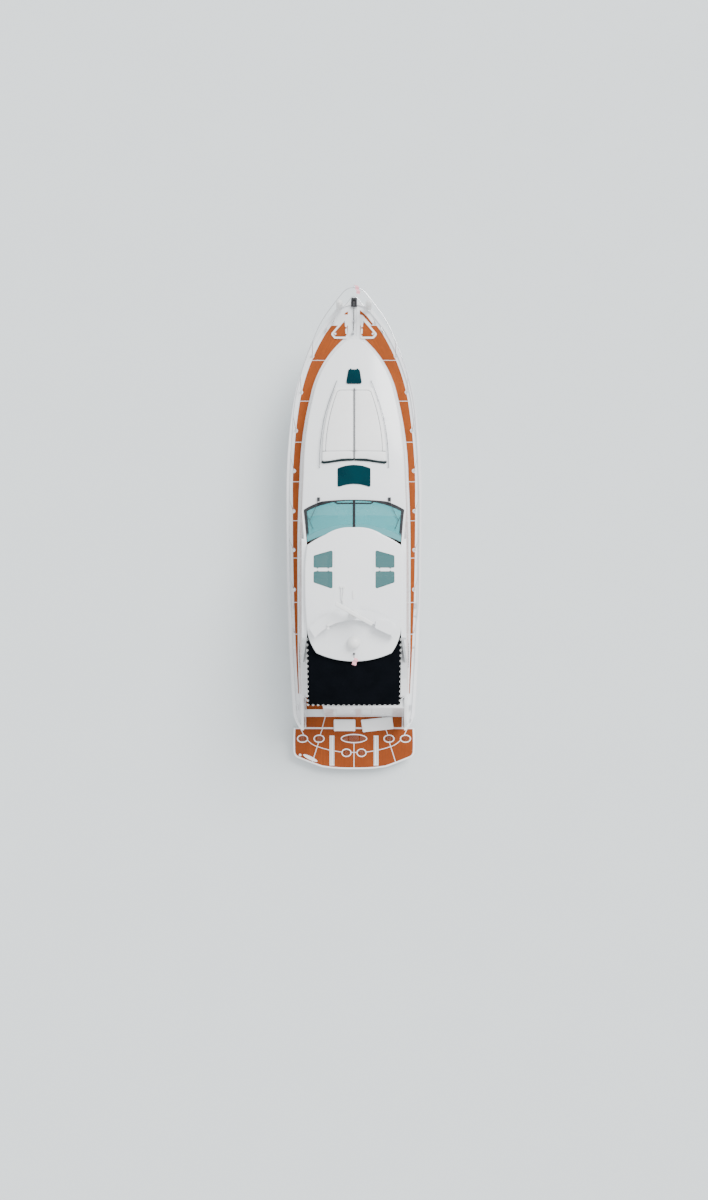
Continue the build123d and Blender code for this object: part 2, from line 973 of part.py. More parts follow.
def skylight_face(inset=0):
    rows = ((skylight_fore_x, 0), (skylight_fore_x - skylight_bow / 4, skylight_half / 2),
            (skylight_fore_x - skylight_bow, skylight_half))
    aft = ((skylight_aft_x, 0), (skylight_aft_x - skylight_bow / 4, skylight_half / 2),
           (skylight_aft_x - skylight_bow, skylight_half))
    edges = [ThreePointArc(*rows), ThreePointArc(*aft), Line(rows[2], aft[2])]
    edges += [edge.mirror(Plane.XZ) for edge in edges]
    face = make_face(edges)
    face = fillet(face.vertices().filter_by(lambda corner: abs(corner.Y) > 100), skylight_corner)
    return offset(face, -inset) if inset else face


def make_hatch_rim():
    rim = prism(hatch_face(), 1500, 3200) & roof_layer(0, hatch_rim_rise)
    return rim - prism(hatch_face(hatch_rim), 1500, 3200)


def hatch_hinge():
    # Middle of the foredeck hatch's hinge line, across its forward edge
    x = hatch_fore_x + hatch_barrel
    sag = roof_z(x) - roof_z(x, hatch_hinge_y - hatch_hinge_wide / 2)
    return Vector(x, 0, roof_z(x - hatch_barrel * 0.4) + hatch_barrel + seat_gap - sag)


def make_hatch_lid():
    low = hatch_rim_rise + hatch_lift
    lid = prism(hatch_face(6), 1500, 3200) & roof_layer(low, low + hatch_pane_thick)
    hinge = hatch_hinge()
    half = hatch_hinge_wide / 2 - 1
    for y in (-hatch_hinge_y, hatch_hinge_y):
        ends = [(hinge.X, y + shift * hatch_hinge_wide, hinge.Z) for shift in (-0.5, 0.5)]
        lid += rod(*ends, 2 * hatch_barrel)
        leaf = block(hinge.X - 40, hinge.X, y - half, y + half, 1500, 3200)
        lid += leaf & roof_layer(hatch_rim_rise + 1, low + 8)
    return lid


def make_skylight():
    pane = prism(skylight_face(), 1500, 3200) & roof_layer(0, 22)
    return pane + (prism(skylight_face(hatch_rim + 1), 1500, 3200) & roof_layer(-20, 1))


def make_sunpad(side):
    half = sunpad_split / 2
    fore, last = sunpad_edge[0], sunpad_aft[-1]
    inner = (sunpad_aft[0][0], half)
    edges = [ThreePointArc(*sunpad_edge), Line(sunpad_edge[-1], last),
             ThreePointArc(sunpad_aft[1], sunpad_aft[2], last), ThreePointArc(inner, *sunpad_aft[:2]),
             Line(inner, (fore[0], half)), Line((fore[0], half), fore)]
    face = make_face(edges)
    corners = [corner for corner in face.vertices() if corner.Y > half + 1]
    corners = [corner for corner in corners if (corner.Y < 700) == (corner.X > 4000)]
    face = fillet(corners, sunpad_corner)
    pad = prism(face, 1500, 3300) & roof_layer(sunpad_lift, sunpad_lift + sunpad_thick)
    return pad if side > 0 else mirror(pad, Plane.XZ)


def screen_shell(thick, front=0):
    # The swept windscreen as a shell between its lower and upper arcs
    faces = []
    for z, x, corner in ((glass_low_z, glass_low_x, glass_low_corner),
                         (glass_top_z, glass_top_x, glass_top_corner)):
        arcs = []
        for back in (-front, thick - front):
            arcs.append(ThreePointArc((corner[0] - back, -corner[1], z), (x - back, 0, z),
                                      (corner[0] - back, corner[1], z)))
        outer, inner = arcs
        faces.append(Wire([outer, Line(outer @ 1, inner @ 1), inner, Line(inner @ 0, outer @ 0)]))
    return Solid.make_loft(faces, ruled=True)


def screen_space(low, high):
    # The space between the coachroof and the hardtop that the windscreen fills
    return roof_layer(low, 2200) & top_layer(-2500, high)


def screen_panes():
    # What is cut out of the frame for the two panes
    space = screen_space(screen_band_low, -top_thick - screen_band_top)
    space -= block(-2000, 3000, -mullion_width / 2, mullion_width / 2, 2000, 4500)
    for side in (1, -1):
        corners = [(0, side * half, z) for half, z in pane_ends]
        corners += [(0, side * side_reach, z) for _, z in pane_ends[::-1]]
        wedge = make_face(Polyline(*corners, close=True))
        space -= extrude(wedge, 3000, dir=(1, 0, 0), both=True)
    return space


def demister_face(inset=0):
    near, far, half = demister_x + inset, demister_reach, demister_half - inset
    face = corner_face(((near, half), (near, -half), (far, -half), (far, half)))
    return fillet(face.vertices().filter_by(lambda corner: corner.X < 2000), demister_corner - inset)


def screen_point(y, z, out=0):
    # A point on the windscreen's outer face, or off it along its normal
    def on_face(y, z):
        share = (z - glass_low_z) / (glass_top_z - glass_low_z)
        centre = glass_low_x + share * (glass_top_x - glass_low_x)
        corner_x = glass_low_corner[0] + share * (glass_top_corner[0] - glass_low_corner[0])
        corner_y = glass_low_corner[1] + share * (glass_top_corner[1] - glass_low_corner[1])
        sag = centre - corner_x
        radius = (corner_y ** 2 + sag ** 2) / (2 * sag)
        return Vector(centre - radius + sqrt(radius ** 2 - y ** 2), y, z)

    here = on_face(y, z)
    across, up = on_face(y + 1, z) - here, on_face(y, z + 1) - here
    return here + up.cross(across).normalized() * -out


def make_screen_frame():
    frame = screen_shell(screen_frame_thick) & screen_space(0.5, -top_thick - curve_gap)
    frame -= screen_panes()
    ring = prism(demister_face(), 2200, 4000) - prism(demister_face(demister_band), 2100, 4100)
    return frame + (ring & screen_shell(glass_thick - 2) & screen_space(0.5, -top_thick - curve_gap))


def make_screen_glass():
    panes = screen_shell(2 * glass_thick) & screen_panes()
    return panes - screen_shell(glass_thick, 1)


def make_wipers():
    wipers = []
    x, y = wiper_foot
    for side in (1, -1):
        foot = Vector(x, side * y, roof_z(x, y) + wiper_box[2] - 8)
        arm = [foot] + [screen_point(side * arm_y, z, wiper_lift) for arm_y, z in wiper_arm]
        ends = [screen_point(side * blade_y, z, wiper_lift) for blade_y, z in wiper_blade]
        wiper = tube(arm, wiper_tube)
        wiper += tube([ends[0], arm[-1], ends[1]], wiper_tube)
        box = Pos(x, side * y, roof_z(x, y) - 40) * Box(
            *wiper_box[:2], wiper_box[2] + 40, align=standing)
        wipers.append(wiper + (box - roof_layer(-2500, seat_gap)))
    return wipers


def cabin_shell(inner=wall_thick, outer=0, low=roof_foot_z, high=wall_top_z):
    # The leaning wall all round the cabin and cockpit, before it is cut to its side view
    def lean(amount):
        rows = grown(cabin_edge, amount) if amount else cabin_edge
        return leaning(rows, roof_foot_z, wall_top_z, wall_lean)

    shell = lean(outer) - lean(-inner)
    return shell & block(-end_reach, end_reach, -side_reach, side_reach, low, high)


def pillar_x(z):
    # The cabin side's forward edge, just behind the windscreen's side edge
    share = (z - glass_low_z) / (glass_top_z - glass_low_z)
    return glass_low_corner[0] + share * (glass_top_corner[0] - glass_low_corner[0]) - pillar_gap


def wall_profile():
    # The cabin side in side view, from the windscreen's edge to the quarter
    return ((roof_aft_x - seat_gap, wall_low_z), (roof_aft_x - seat_gap, pillar_foot_z),
            (pillar_x(pillar_foot_z), pillar_foot_z), (pillar_x(wall_top_z), wall_top_z), *leg_rows,
            *coaming_rows, (coaming_rows[-1][0], wall_low_z))


def window_cut(corners):
    # A side window's opening, rounded at its corners, through the port wall
    face = make_face(Polyline(*[(x, 0, z) for x, z in corners], close=True))
    face = fillet(face.vertices(), window_corner)
    return extrude(face, side_reach, dir=(0, 1, 0))


def make_cabin_sides():
    # One side, port: wall, gutter rail over the windows and the cap on the cockpit coaming
    outline = side_profile(wall_profile(), 0, side_reach)
    wall = cabin_shell() & outline
    wall += cabin_shell(gutter_in, gutter_out, gutter_low_z, gutter_high_z) & outline
    top = [(cap_fore_x, coaming_rows[0][1])] + [row for row in coaming_rows if row[0] > cap_aft_x]
    top.append((cap_aft_x, coaming_z(cap_aft_x)))
    cap = top + [(x, z - cap_deep) for x, z in top[::-1]]
    wall += cabin_shell(cap_width) & side_profile(cap, 0, side_reach)
    for corners in side_windows:
        wall -= window_cut(corners)
    wall -= top_layer(-top_thick - curve_gap, 600)
    wall -= roof_body(curve_gap)
    wall -= gunwale(-1, gunwale_rise)
    return both_sides(wall - deck_layer(-2000, 0))


def make_side_glass():
    glass = cabin_shell(side_glass_in + side_glass_thick, -side_glass_in)
    panes = []
    for corners in side_windows:
        panes += both_sides(glass & window_cut(corners))
    return panes


def make_hardtop():
    plan = plan_face(top_edge)
    for front in (True, False):
        for side in (1, -1):
            plan -= pane_face(front, side)
    top = prism(plan, 3000, 4500) & top_layer(-top_thick, 0)
    upper = max(sorted(top.faces(), key=lambda face: face.area)[-2:], key=lambda face: face.center().Z)
    top = fillet(upper.outer_wire().edges(), top_round)
    for start, middle, end in top_seams:
        top -= prism(seam_face(start, middle, end), 3000, 4500) & top_layer(-seam_deep, 20)
    return top


def seam_face(start, middle, end):
    # A curved strip in plan, as wide as a seam
    shift = seam_wide / 2
    port = ThreePointArc(*[(x, y + shift) for x, y in (start, middle, end)])
    starboard = ThreePointArc(*[(x, y - shift) for x, y in (start, middle, end)])
    return make_face([port, Line(port @ 1, starboard @ 1), starboard, Line(starboard @ 0, port @ 0)])


def pane_face(front, side):
    if front:
        points = ((pane_fore_in_x, pane_in_y), (pane_bar_x + pane_bar_half, pane_in_y),
                  (pane_bar_x + pane_bar_half, pane_out_y), (pane_fore_out_x, pane_out_y))
    else:
        points = ((pane_aft_in_x, pane_in_y), (pane_bar_x - pane_bar_half, pane_in_y),
                  (pane_bar_x - pane_bar_half, pane_out_y), (pane_aft_out_x, pane_out_y))
    face = corner_face([(x, side * y) for x, y in points])
    return fillet(face.vertices(), pane_corner)


def pane_hinge(front, side):
    # Middle and direction of a roof hatch's hinge line, just over the cross bar
    x = pane_bar_x + (1 if front else -1) * (pane_bar_half - pane_hinge_inset)
    y = (pane_in_y + pane_out_y) / 2
    sag = pane_hinge_apart ** 2 / (2 * top_cross_radius)
    z = top_z(x, y) - sag + pane_barrel + 2 * seat_gap
    slope = asin(y / top_cross_radius)
    return Vector(x, side * y, z), Vector(0, cos(slope), -side * sin(slope))


def make_roof_hatch(front, side):
    body = prism(offset(pane_face(front, side), -pane_gap), 3000, 4600) & top_layer(-pane_thick, pane_rise)
    middle, along = pane_hinge(front, side)
    inward = 1 if front else -1
    for shift in (-pane_hinge_apart, pane_hinge_apart):
        at = middle + along * shift
        end = at - along * (pane_hinge_wide / 2)
        body += rod(end, at + along * (pane_hinge_wide / 2), 2 * pane_barrel)
        leaf = block(at.X, at.X + inward * pane_leaf, at.Y - pane_hinge_wide / 2 + 1,
                     at.Y + pane_hinge_wide / 2 - 1, 3000, 4600)
        body += leaf & top_layer(pane_rise - 1, pane_rise + 6)
    return body


def wing_face():
    edges = [ThreePointArc(*wing_fore), Line(wing_fore[0], wing_aft[0]), ThreePointArc(*wing_aft)]
    edges += [edge.mirror(Plane.XZ) for edge in edges]
    return make_face(edges)


def make_radar_wing():
    # The raised crescent over the after part of the hardtop, its two feet, its post and the pod
    wing = prism(wing_face(), 3500, 5000) & top_layer(wing_lift, wing_lift + wing_thick)
    aft, fore, inner, outer = wing_foot
    for side in (1, -1):
        foot = block(aft, fore, side * inner, side * outer, 3500, 5000) & prism(wing_face(), 3500, 5000)
        wing += foot & top_layer(curve_gap, wing_lift + 5)
    aft, fore, half = wing_post
    wing += block(aft, fore, -half, half, 3500, 5000) & top_layer(curve_gap, wing_lift + 5)
    pod = fillet(corner_face(pod_corners).vertices(), pod_corner)
    high = wing_lift + wing_thick
    return wing + (prism(pod, 3500, 5000) & top_layer(wing_lift + 20, high + pod_high))


def make_radar():
    base = top_z(pedestal_x) + wing_lift + wing_thick
    cone = Cone(pedestal_radius, pedestal_radius * 0.72, pedestal_high + 20, align=standing)
    pedestal = Pos(pedestal_x, 0, base - 20) * cone
    bar = Box(array_length, array_width, array_high, align=standing)
    bar = fillet(bar.edges().filter_by(Axis.Z), array_width * 0.33)
    bar = fillet(bar.faces().sort_by(Axis.Z)[-1].edges(), array_high * 0.25)
    bar += Pos(0, 0, -array_neck) * Cylinder(neck_radius, array_neck + 2, align=standing)
    height = base + pedestal_high + array_neck + seat_gap
    array = Pos(pedestal_x, 0, height) * Rot(0, 0, array_turn) * bar
    return pedestal - roof_cut(wing_lift + wing_thick + curve_gap), array


def roof_cut(high):
    return top_layer(-2500, high)


def make_dome():
    base = top_z(dome_x)
    shoulder = dome_high * 0.45
    crown = dome_high - shoulder
    ball_radius = (dome_radius ** 2 + crown ** 2) / (2 * crown)
    dome = Pos(0, 0, -30) * Cylinder(dome_radius, dome_high + 30, align=standing)
    dome = dome & (Pos(0, 0, dome_high - ball_radius) * Sphere(ball_radius))
    return Pos(dome_x, 0, base) * dome - roof_cut(curve_gap)


def make_roof_fittings():
    # Twin horn, lamp strip and two receiver caps standing on the hardtop
    x, y = horn_place
    z = top_z(x, y)
    long_half, wide_half, high = horn_base
    horn = block(x - long_half, x + long_half, y - wide_half, y + wide_half, z - 20, z + high)
    for shift in (-horn_apart, horn_apart):
        mouth = (x - horn_long, y + shift * 0.3, z + trumpet_z[1])
        horn += rod((x, y + shift, z + trumpet_z[0]), mouth, horn_tube)
    bell_x, bell_z = x - horn_long, z + trumpet_z[1]
    horn += rod((bell_x, y - 20, bell_z), (bell_x - bell_long, y - 20, bell_z), bell_wide)
    horn += block(bell_x - 20, bell_x + 20, y - 20, y + 20, z - 20, z + 40)
    x, y = lamp_place
    z = top_z(x, y)
    length, width, high = lamp_size
    lamp = block(x - length / 2, x + length / 2, y - width / 2, y + width / 2, z - 20, z + high)
    parts = [horn - roof_cut(curve_gap), fillet(lamp.edges().filter_by(Axis.Z), 20) - roof_cut(curve_gap)]
    low = wing_lift + wing_thick
    for x, y in receivers:
        cap = Pos(x, y, top_z(x, y) + low - 20) * Cylinder(receiver_radius, receiver_high + 20,
                                                         align=standing)
        cap = fillet(cap.faces().sort_by(Axis.Z)[-1].edges(), 18)
        parts.append(cap - roof_cut(low + curve_gap))
    return parts


def make_ensign_staff():
    # Bent staff in its socket at the after edge of the hardtop
    z = top_z(ensign_x)
    staff = tube([(ensign_x, 0, z), (ensign_x, 0, z + ensign_bend),
                  (ensign_x - ensign_rake, 0, z + ensign_high)], staff_tube)
    staff += Pos(ensign_x, 0, z) * Cylinder(ensign_base, 2 * ensign_base)
    return staff - roof_cut(curve_gap)


def awning_arc():
    # Centre and top of the awning's own curve, which leaves the hardtop's after edge in line with it
    aft = top_edge[-1][0]
    slope = (top_centre_x - aft) / top_long_radius
    centre = aft + slope * awning_radius
    return centre, top_z(aft) - top_thick - curve_gap - 1 + (centre - aft) ** 2 / (2 * awning_radius)


def awning_layer(low, high):
    return crowned(*awning_arc(), awning_radius, top_cross_radius, low, high, 1800, 3000)


def awning_z(x, y=0):
    centre, top = awning_arc()
    rise = top_cross_radius - sqrt(top_cross_radius ** 2 - y * y)
    return top - awning_radius + sqrt((awning_radius - rise) ** 2 - (x - centre) ** 2)


def make_awning():
    sheet = block(awning_aft_x, awning_fore_x, -awning_half, awning_half, 2500, 4200)
    return sheet & awning_layer(-awning_thick, 0)


def coaming_z(x):
    # Height of the cockpit coaming's top edge
    for (x0, z0), (x1, z1) in zip(coaming_rows, coaming_rows[1:]):
        if x1 <= x <= x0:
            return z0 + (z1 - z0) * (x - x0) / (x1 - x0)
    return coaming_rows[0][1]


def make_awning_frame():
    # A bowed batten under the awning's after hem, and the two poles that carry it
    x = awning_aft_x + awning_bar_inset
    half = awning_half - awning_corner_in
    low = -awning_thick - curve_gap - awning_batten
    batten = awning_layer(low, -awning_thick - curve_gap) & block(
        x - awning_batten / 2, x + awning_batten / 2, -half, half, 2500, 4200)
    head_y = half - awning_tube
    foot = (awning_foot_x, awning_foot_y, coaming_z(awning_foot_x) + awning_foot_lift)
    pole = rod(foot, (x, head_y, awning_z(x, head_y)), awning_tube) - awning_layer(low - seat_gap, 400)
    pole += Pos(*foot) * Cylinder(awning_foot_radius, awning_foot_high, align=standing)
    pole -= block(foot[0] - 100, foot[0] + 100, 0, side_reach, 0, foot[2])
    return [batten] + both_sides(pole)


def make_rails():
    top = [(x, half, deck_z(x, rail_high)) for x, half in rail_plan]
    foot = (rail_foot[0], rail_foot[1], deck_z(rail_foot[0], 0))
    port = [foot] + top[::-1]
    path = port + [(x, -y, z) for x, y, z in port[::-1]]
    line = tube_path(path)
    rail = tube(path, rail_tube)
    for base_x, base_half, top_x in stanchions:
        top = point_at(line, top_x)
        for side in (1, -1):
            low = (base_x, side * base_half, deck_z(base_x, -base_high))
            rail += rod(low, (top.X, side * top.Y, top.Z), stanchion_tube)
            rail += Pos(base_x, side * base_half, deck_z(base_x, -base_high)) * Cylinder(
                base_radius, 2 * base_high, align=standing)
    tip = line @ 0.5
    rail += rod((tip.X, 0, tip.Z), (tip.X - jack_rake, 0, tip.Z + jack_high), staff_tube)
    low = [(x, half, deck_z(x, above)) for x, half, above in stem_rail]
    stem = tube(low + [(x, -y, z) for x, y, z in low[::-1]], stanchion_tube)
    for side in (1, -1):
        stem += Pos(low[0][0], side * low[0][1], low[0][2]) * Cylinder(
            base_radius, 2 * base_high, align=standing)
    return [rail - deck_layer(-1000, 0), stem - deck_layer(-1000, 0)]


def make_fenders():
    fenders = []
    for side in (1, -1):
        body = fillet(Cylinder(fender_radius, fender_high, align=standing).edges(), fender_round)
        body += Cylinder(fender_eye, fender_high + fender_eye_high, align=standing)
        fender = Pos(fender_x, side * fender_y, deck_z(fender_x, gunwale_rise)) * body
        fenders.append(fender - deck_layer(-1000, gunwale_rise + seat_gap))
    return fenders


def lid_outline(inset=0):
    face = fillet(corner_face(locker_corners).vertices(), locker_corner)
    return offset(face, -inset) if inset else face


def lid_hinge():
    # Middle and direction of a bow locker lid's hinge line, over the inboard rim
    x, y = lid_hinge_x, locker_corners[3][1] + lid_border - lid_barrel - 4
    along = Vector(1, 0, (deck_z(x + 100) - deck_z(x)) / 100).normalized()
    return Vector(x, y, deck_z(x, rim_high) + lid_barrel + 2 * seat_gap), along


def make_locker_rim():
    ring = lid_outline() - lid_outline(lid_border)
    return both_sides(prism(ring, 1500, 2700) & deck_layer(-1, rim_high))


def make_locker_lid(side):
    lid = prism(lid_outline(lid_border + lid_side_gap), 1500, 2700)
    lid &= deck_layer(lid_seat, lid_seat + lid_thick)
    tip = lid.bounding_box().max.X
    lid -= block(tip - lid_tip_cut, tip + 1, 0, side_reach, 1500, 2700)
    middle, along = lid_hinge()
    for shift in (-lid_hinge_apart, lid_hinge_apart):
        at = middle + along * shift
        lid += rod(at - along * (lid_hinge_wide / 2), at + along * (lid_hinge_wide / 2), 2 * lid_barrel)
        half = lid_hinge_wide / 2 - 1
        leaf = block(at.X - half, at.X + half, at.Y, at.Y + 60, 1500, 2700)
        lid += leaf & deck_layer(rim_high + 1, rim_high + 7)
    return lid if side > 0 else mirror(lid, Plane.XZ)


def make_roller():
    # Stem fitting: a plate bridging the channel, two cheeks and the grooved roller between them
    low = gunwale_rise + seat_gap
    half = channel_half + roller_plate_lap
    fitting = block(roller_aft_x, roller_fore_x, -half, half, 1500, 2700)
    fitting &= deck_layer(low, low + roller_cheek)
    for side in (1, -1):
        near, far = side * roller_cheek_y, side * (roller_cheek_y + roller_cheek)
        cheek = block(roller_aft_x, roller_fore_x, near, far, 1500, 2700)
        fitting += cheek & deck_layer(low, roller_high)
    wheel = Cylinder(roller_radius, 2 * roller_cheek_y + 4) - Torus(roller_radius, roller_radius * 0.45)
    return fitting + Pos(roller_x, 0, deck_z(roller_x, roller_high - roller_radius)) * Rot(90, 0, 0) * wheel


def make_windlass():
    # Upright windlass and the chain stopper ahead of it, on their plates in the channel
    floor = -channel_deep + curve_gap
    x, y, z = windlass_x, windlass_y, deck_z(windlass_x, floor)
    plate = Pos(x, y, 2000) * Cylinder(windlass_radius + 8, 1600)
    body = plate & deck_layer(floor, floor + windlass_plate)
    body += Pos(x, y, z + 2) * Cylinder(windlass_radius * 0.6, windlass_high, align=standing)
    body += Pos(x, y, z + windlass_high) * Cylinder(windlass_radius, 20, align=standing)
    gypsy = Cylinder(gypsy_radius, gypsy_high) - Torus(gypsy_radius, gypsy_groove)
    body += Pos(x, y, z + windlass_plate + gypsy_high / 2 + 10) * gypsy
    x = stopper_x
    half = stopper_long / 2
    stopper = block(x - half, x + half, -stopper_gap - 20, stopper_gap + 20, 1500, 2700)
    stopper &= deck_layer(floor, floor + windlass_plate)
    for side in (1, -1):
        cheek = block(x - half + 8, x + half - 8, side * stopper_gap, side * (stopper_gap + 12), 1500, 2700)
        stopper += cheek & deck_layer(floor, floor + stopper_high)
    pin_z = deck_z(x, floor + stopper_high - 12)
    stopper += rod((x + half / 2, -stopper_gap - 12, pin_z), (x + half / 2, stopper_gap + 12, pin_z), 12)
    return [body, stopper]


def make_deck_fittings():
    # Mooring cleats, filler caps and the oval plates on the quarters
    parts = []
    for x, half in cleats:
        horn = rod((-cleat_long / 2, 0, cleat_high), (cleat_long / 2, 0, cleat_high), cleat_rod)
        for shift in (-cleat_long / 5, cleat_long / 5):
            horn += rod((shift, 0, -cleat_high), (shift, 0, cleat_high), cleat_rod)
        horn += block(-cleat_long / 3, cleat_long / 3, -cleat_base, cleat_base, -cleat_high, cleat_rod / 2)
        cleat = Pos(x, half, deck_z(x)) * Rot(0, 0, deck_turn(x)) * horn
        parts += both_sides(cleat - deck_layer(-1000, seat_gap))
    for x, half in filler_caps:
        cap = Pos(x, half, deck_z(x)) * Cylinder(cap_radius, 100)
        parts += both_sides(cap & deck_layer(seat_gap, cap_rise))
    x, half, along, across = quarter_plate
    plate = prism(Pos(x, half) * Rot(0, 0, deck_turn(x)) * Ellipse(along, across), 1000, 2600)
    return parts + both_sides(plate & deck_layer(gunwale_rise + seat_gap, gunwale_rise + cap_rise))


def deck_turn(x):
    # Direction of the port deck edge in plan at x
    for (x0, y0), (x1, y1) in zip(deck_edge, deck_edge[1:]):
        if x1 <= x <= x0:
            return degrees(atan2(y0 - y1, x0 - x1))
    return 0


def make_grab_rails():
    # A rail beside each half of the sunpad, its ends and posts let down to the coachroof
    points = [(x, half, roof_z(x, half) + grab_high) for x, half in grab_plan]
    ends = [(x + shift, y, z - grab_high - grab_tube) for (x, y, z), shift in
            ((points[0], grab_tube), (points[-1], -grab_tube))]
    rail = tube([ends[0]] + points + [ends[1]], grab_tube)
    for x, y, z in points[1:-1]:
        rail += rod((x, y, z - grab_high - grab_tube), (x, y, z), grab_tube)
    return both_sides(rail - roof_layer(-2500, seat_gap))


def make_platform():
    low = platform_z - platform_thick
    inner = grown(platform_rows, -platform_bevel)
    sections = ((inner, low), (platform_rows, low + platform_bevel),
                (platform_rows, platform_z - platform_bevel), (inner, platform_z))
    wires = [(Pos(0, 0, z) * plan_face(rows)).face().outer_wire() for rows, z in sections]
    body = Solid.make_loft(wires, ruled=True)
    top = platform_z + grate_rise
    for x, y, along, across in grates:
        spot = Pos(x, y)
        body += prism(spot * Ellipse(along, across), platform_z - 1, top)
        hole = spot * Ellipse(along - grate_ring, across - grate_ring)
        body -= prism(hole, platform_z - grate_deep, top + 1)
    fore, aft, y, half = chock_tracks
    for side in (1, -1):
        body += block(aft, fore, side * y - half, side * y + half, platform_z - 1, top)
        near, far = side * y - track_groove / 2, side * y + track_groove / 2
        body -= block(aft + track_end, fore - track_end, near, far, platform_z, top + 1)
    body += ladder_lens(platform_z - 1, top)
    _, high = arm_ends()
    for side in (1, -1):
        body += clevis(high, side, low + 1)
    return body


def ladder_lens(low, high, grow=0):
    # Cover over the bathing ladder, set in the after edge on the port side
    x, y, along, across, turn = ladder_cover
    lens = prism(Pos(x, y) * Rot(0, 0, turn) * Ellipse(along + grow, across + grow), low, high)
    return lens & prism(plan_face(grown(platform_rows, -20)), low, high)


def make_platform_teak():
    # Planking of the swim platform between its white inlay lines, and the slats of the drain grates
    low, high = platform_z, platform_z + platform_teak_thick
    teak = prism(plan_face(grown(platform_rows, -platform_margin)), low, high)
    teak &= block(-end_reach, platform_seam_x - platform_margin / 2, -side_reach, side_reach, low, high)
    for x, y, along, across in grates:
        teak -= prism(Pos(x, y) * Ellipse(along + 2, across + 2), low - 1, high + 1)
    fore, aft, y, half = chock_tracks
    for side in (1, -1):
        teak -= block(aft - 2, fore + 2, side * y - half - 2, side * y + half + 2, low - 1, high + 1)
        for start, end in inlay_seams:
            teak -= seam_strip((start[0], side * start[1]), (end[0], side * end[1]), inlay_wide, low, high)
    teak -= ladder_lens(low - 1, high + 1, 4)
    ring = plan_face(inlay_rows) - plan_face(grown(inlay_rows, -inlay_wide))
    curve = prism(ring, low - 1, high + 1)
    teak -= curve & block(-end_reach, inlay_rows[-1][0] - 1, -side_reach, side_reach, 0, 900)
    return list(teak.solids()) + [grate_slats(*row) for row in grates]


def grate_slats(x, y, along, across):
    # Slats across the boat on two bearers, fitted inside the grate's ring
    floor, top = platform_z - grate_deep + seat_gap, platform_z + grate_rise - 3
    inside = prism(Pos(x, y) * Ellipse(along - grate_ring - 1, across - grate_ring - 1), floor, top)
    count = int(2 * (along - grate_ring - slat_wide / 2) / slat_pitch) + 1
    places = [x + (i - (count - 1) / 2) * slat_pitch for i in range(count)]
    half = slat_wide / 2
    slats = [block(at - half, at + half, y - across, y + across, floor, top) for at in places]
    for side in (1, -1):
        near, far = y + side * across * bearer_share, y + side * (across * bearer_share + slat_wide)
        slats.append(block(x - along, x + along, near, far, floor, floor + bearer_thick))
    grate = slats[0] & inside
    for slat in slats[1:]:
        grate += slat & inside
    return grate


def clevis(centre, side, reach):
    # Two lugs and their pin, round one end of a lift arm, rising or dropping to a face at reach
    x, z = centre
    gap = arm_width / 2 + seat_gap
    lugs = None
    for out in (1, -1):
        y = side * arm_y + out * (gap + lug_thick / 2)
        lug = Pos(x, y, z) * Rot(90, 0, 0) * Cylinder(lug_radius, lug_thick)
        lug += block(x - lug_radius, x + lug_radius, y - lug_thick / 2, y + lug_thick / 2, z, reach)
        lugs = lug if lugs is None else lugs + lug
    return lugs + Pos(x, side * arm_y, z) * Rot(90, 0, 0) * Cylinder(arm_pin / 2, 2 * (gap + lug_thick))


def arm_ends():
    # Pivot on the transom and pivot under the platform, x and z
    rise = arm_length * sin(radians(arm_angle))
    run = arm_length * cos(radians(arm_angle))
    low = (transom_x - arm_stand_off, platform_z - platform_thick - arm_drop - rise)
    return low, (low[0] - run, low[1] + rise)


def make_arms():
    low, high = arm_ends()
    middle = ((low[0] + high[0]) / 2, (low[1] + high[1]) / 2)
    arms = rod((middle[0], -arm_y, middle[1]), (middle[0], arm_y, middle[1]), arm_cross)
    for side in (1, -1):
        y = side * arm_y
        arms += rod((low[0], y, low[1]), (high[0], y, high[1]), arm_thick)
        for x, z in (low, high):
            arms += Pos(x, y, z) * Rot(90, 0, 0) * Cylinder(eye_radius, arm_width)
    for side in (1, -1):
        for x, z in (low, high):
            arms -= Pos(x, side * arm_y, z) * Rot(90, 0, 0) * Cylinder(arm_pin / 2 + pin_gap, 2 * arm_width)
            for out in (1, -1):
                arms -= Pos(x, side * arm_y + out * arm_width, z) * Rot(90, 0, 0) * Cylinder(
                    lug_radius + 8, arm_width)
    return arms


def make_arm_brackets():
    low, _ = arm_ends()
    brackets = []
    for side in (1, -1):
        x, z = low
        gap = arm_width / 2 + seat_gap
        bracket = Pos(x, side * arm_y, z) * Rot(90, 0, 0) * Cylinder(arm_pin / 2, 2 * (gap + lug_thick))
        for out in (1, -1):
            y = side * arm_y + out * (gap + lug_thick / 2)
            bracket += Pos(x, y, z) * Rot(90, 0, 0) * Cylinder(lug_radius, lug_thick)
            half = lug_thick / 2
            bracket += block(x, transom_x + 5, y - half, y + half, z - lug_radius, z + lug_radius)
        brackets.append(bracket)
    return brackets


def make_transom():
    # The moulding between the cockpit and the platform, with the walkway's steps on its port side
    profile = ((seat_back_x, sole_z), (seat_back_x - 60, transom_top_z - 20), (transom_top_x, transom_top_z),
               (transom_foot_x, transom_foot_z), (transom_foot_x, platform_z), (well_aft_x, platform_z),
               (well_aft_x, sole_z))
    body = side_profile(profile, -well_half + 1, transom_port_y)
    upper = [edge for edge in body.edges().filter_by(Axis.Y) if edge.center().Z > transom_top_z - 100]
    body = fillet(upper, transom_round)
    body -= cabin_shell(wall_thick + 1)
    body -= block(transom_foot_x - 200, locker_fore_x, -locker_half, locker_half, locker_low_z, locker_high_z)
    for i in range(1, step_count):
        body += block(well_aft_x, step_x(i), transom_port_y - 1, well_half - 1,
                      platform_z + (i - 1) * step_rise, platform_z + i * step_rise)
    return body


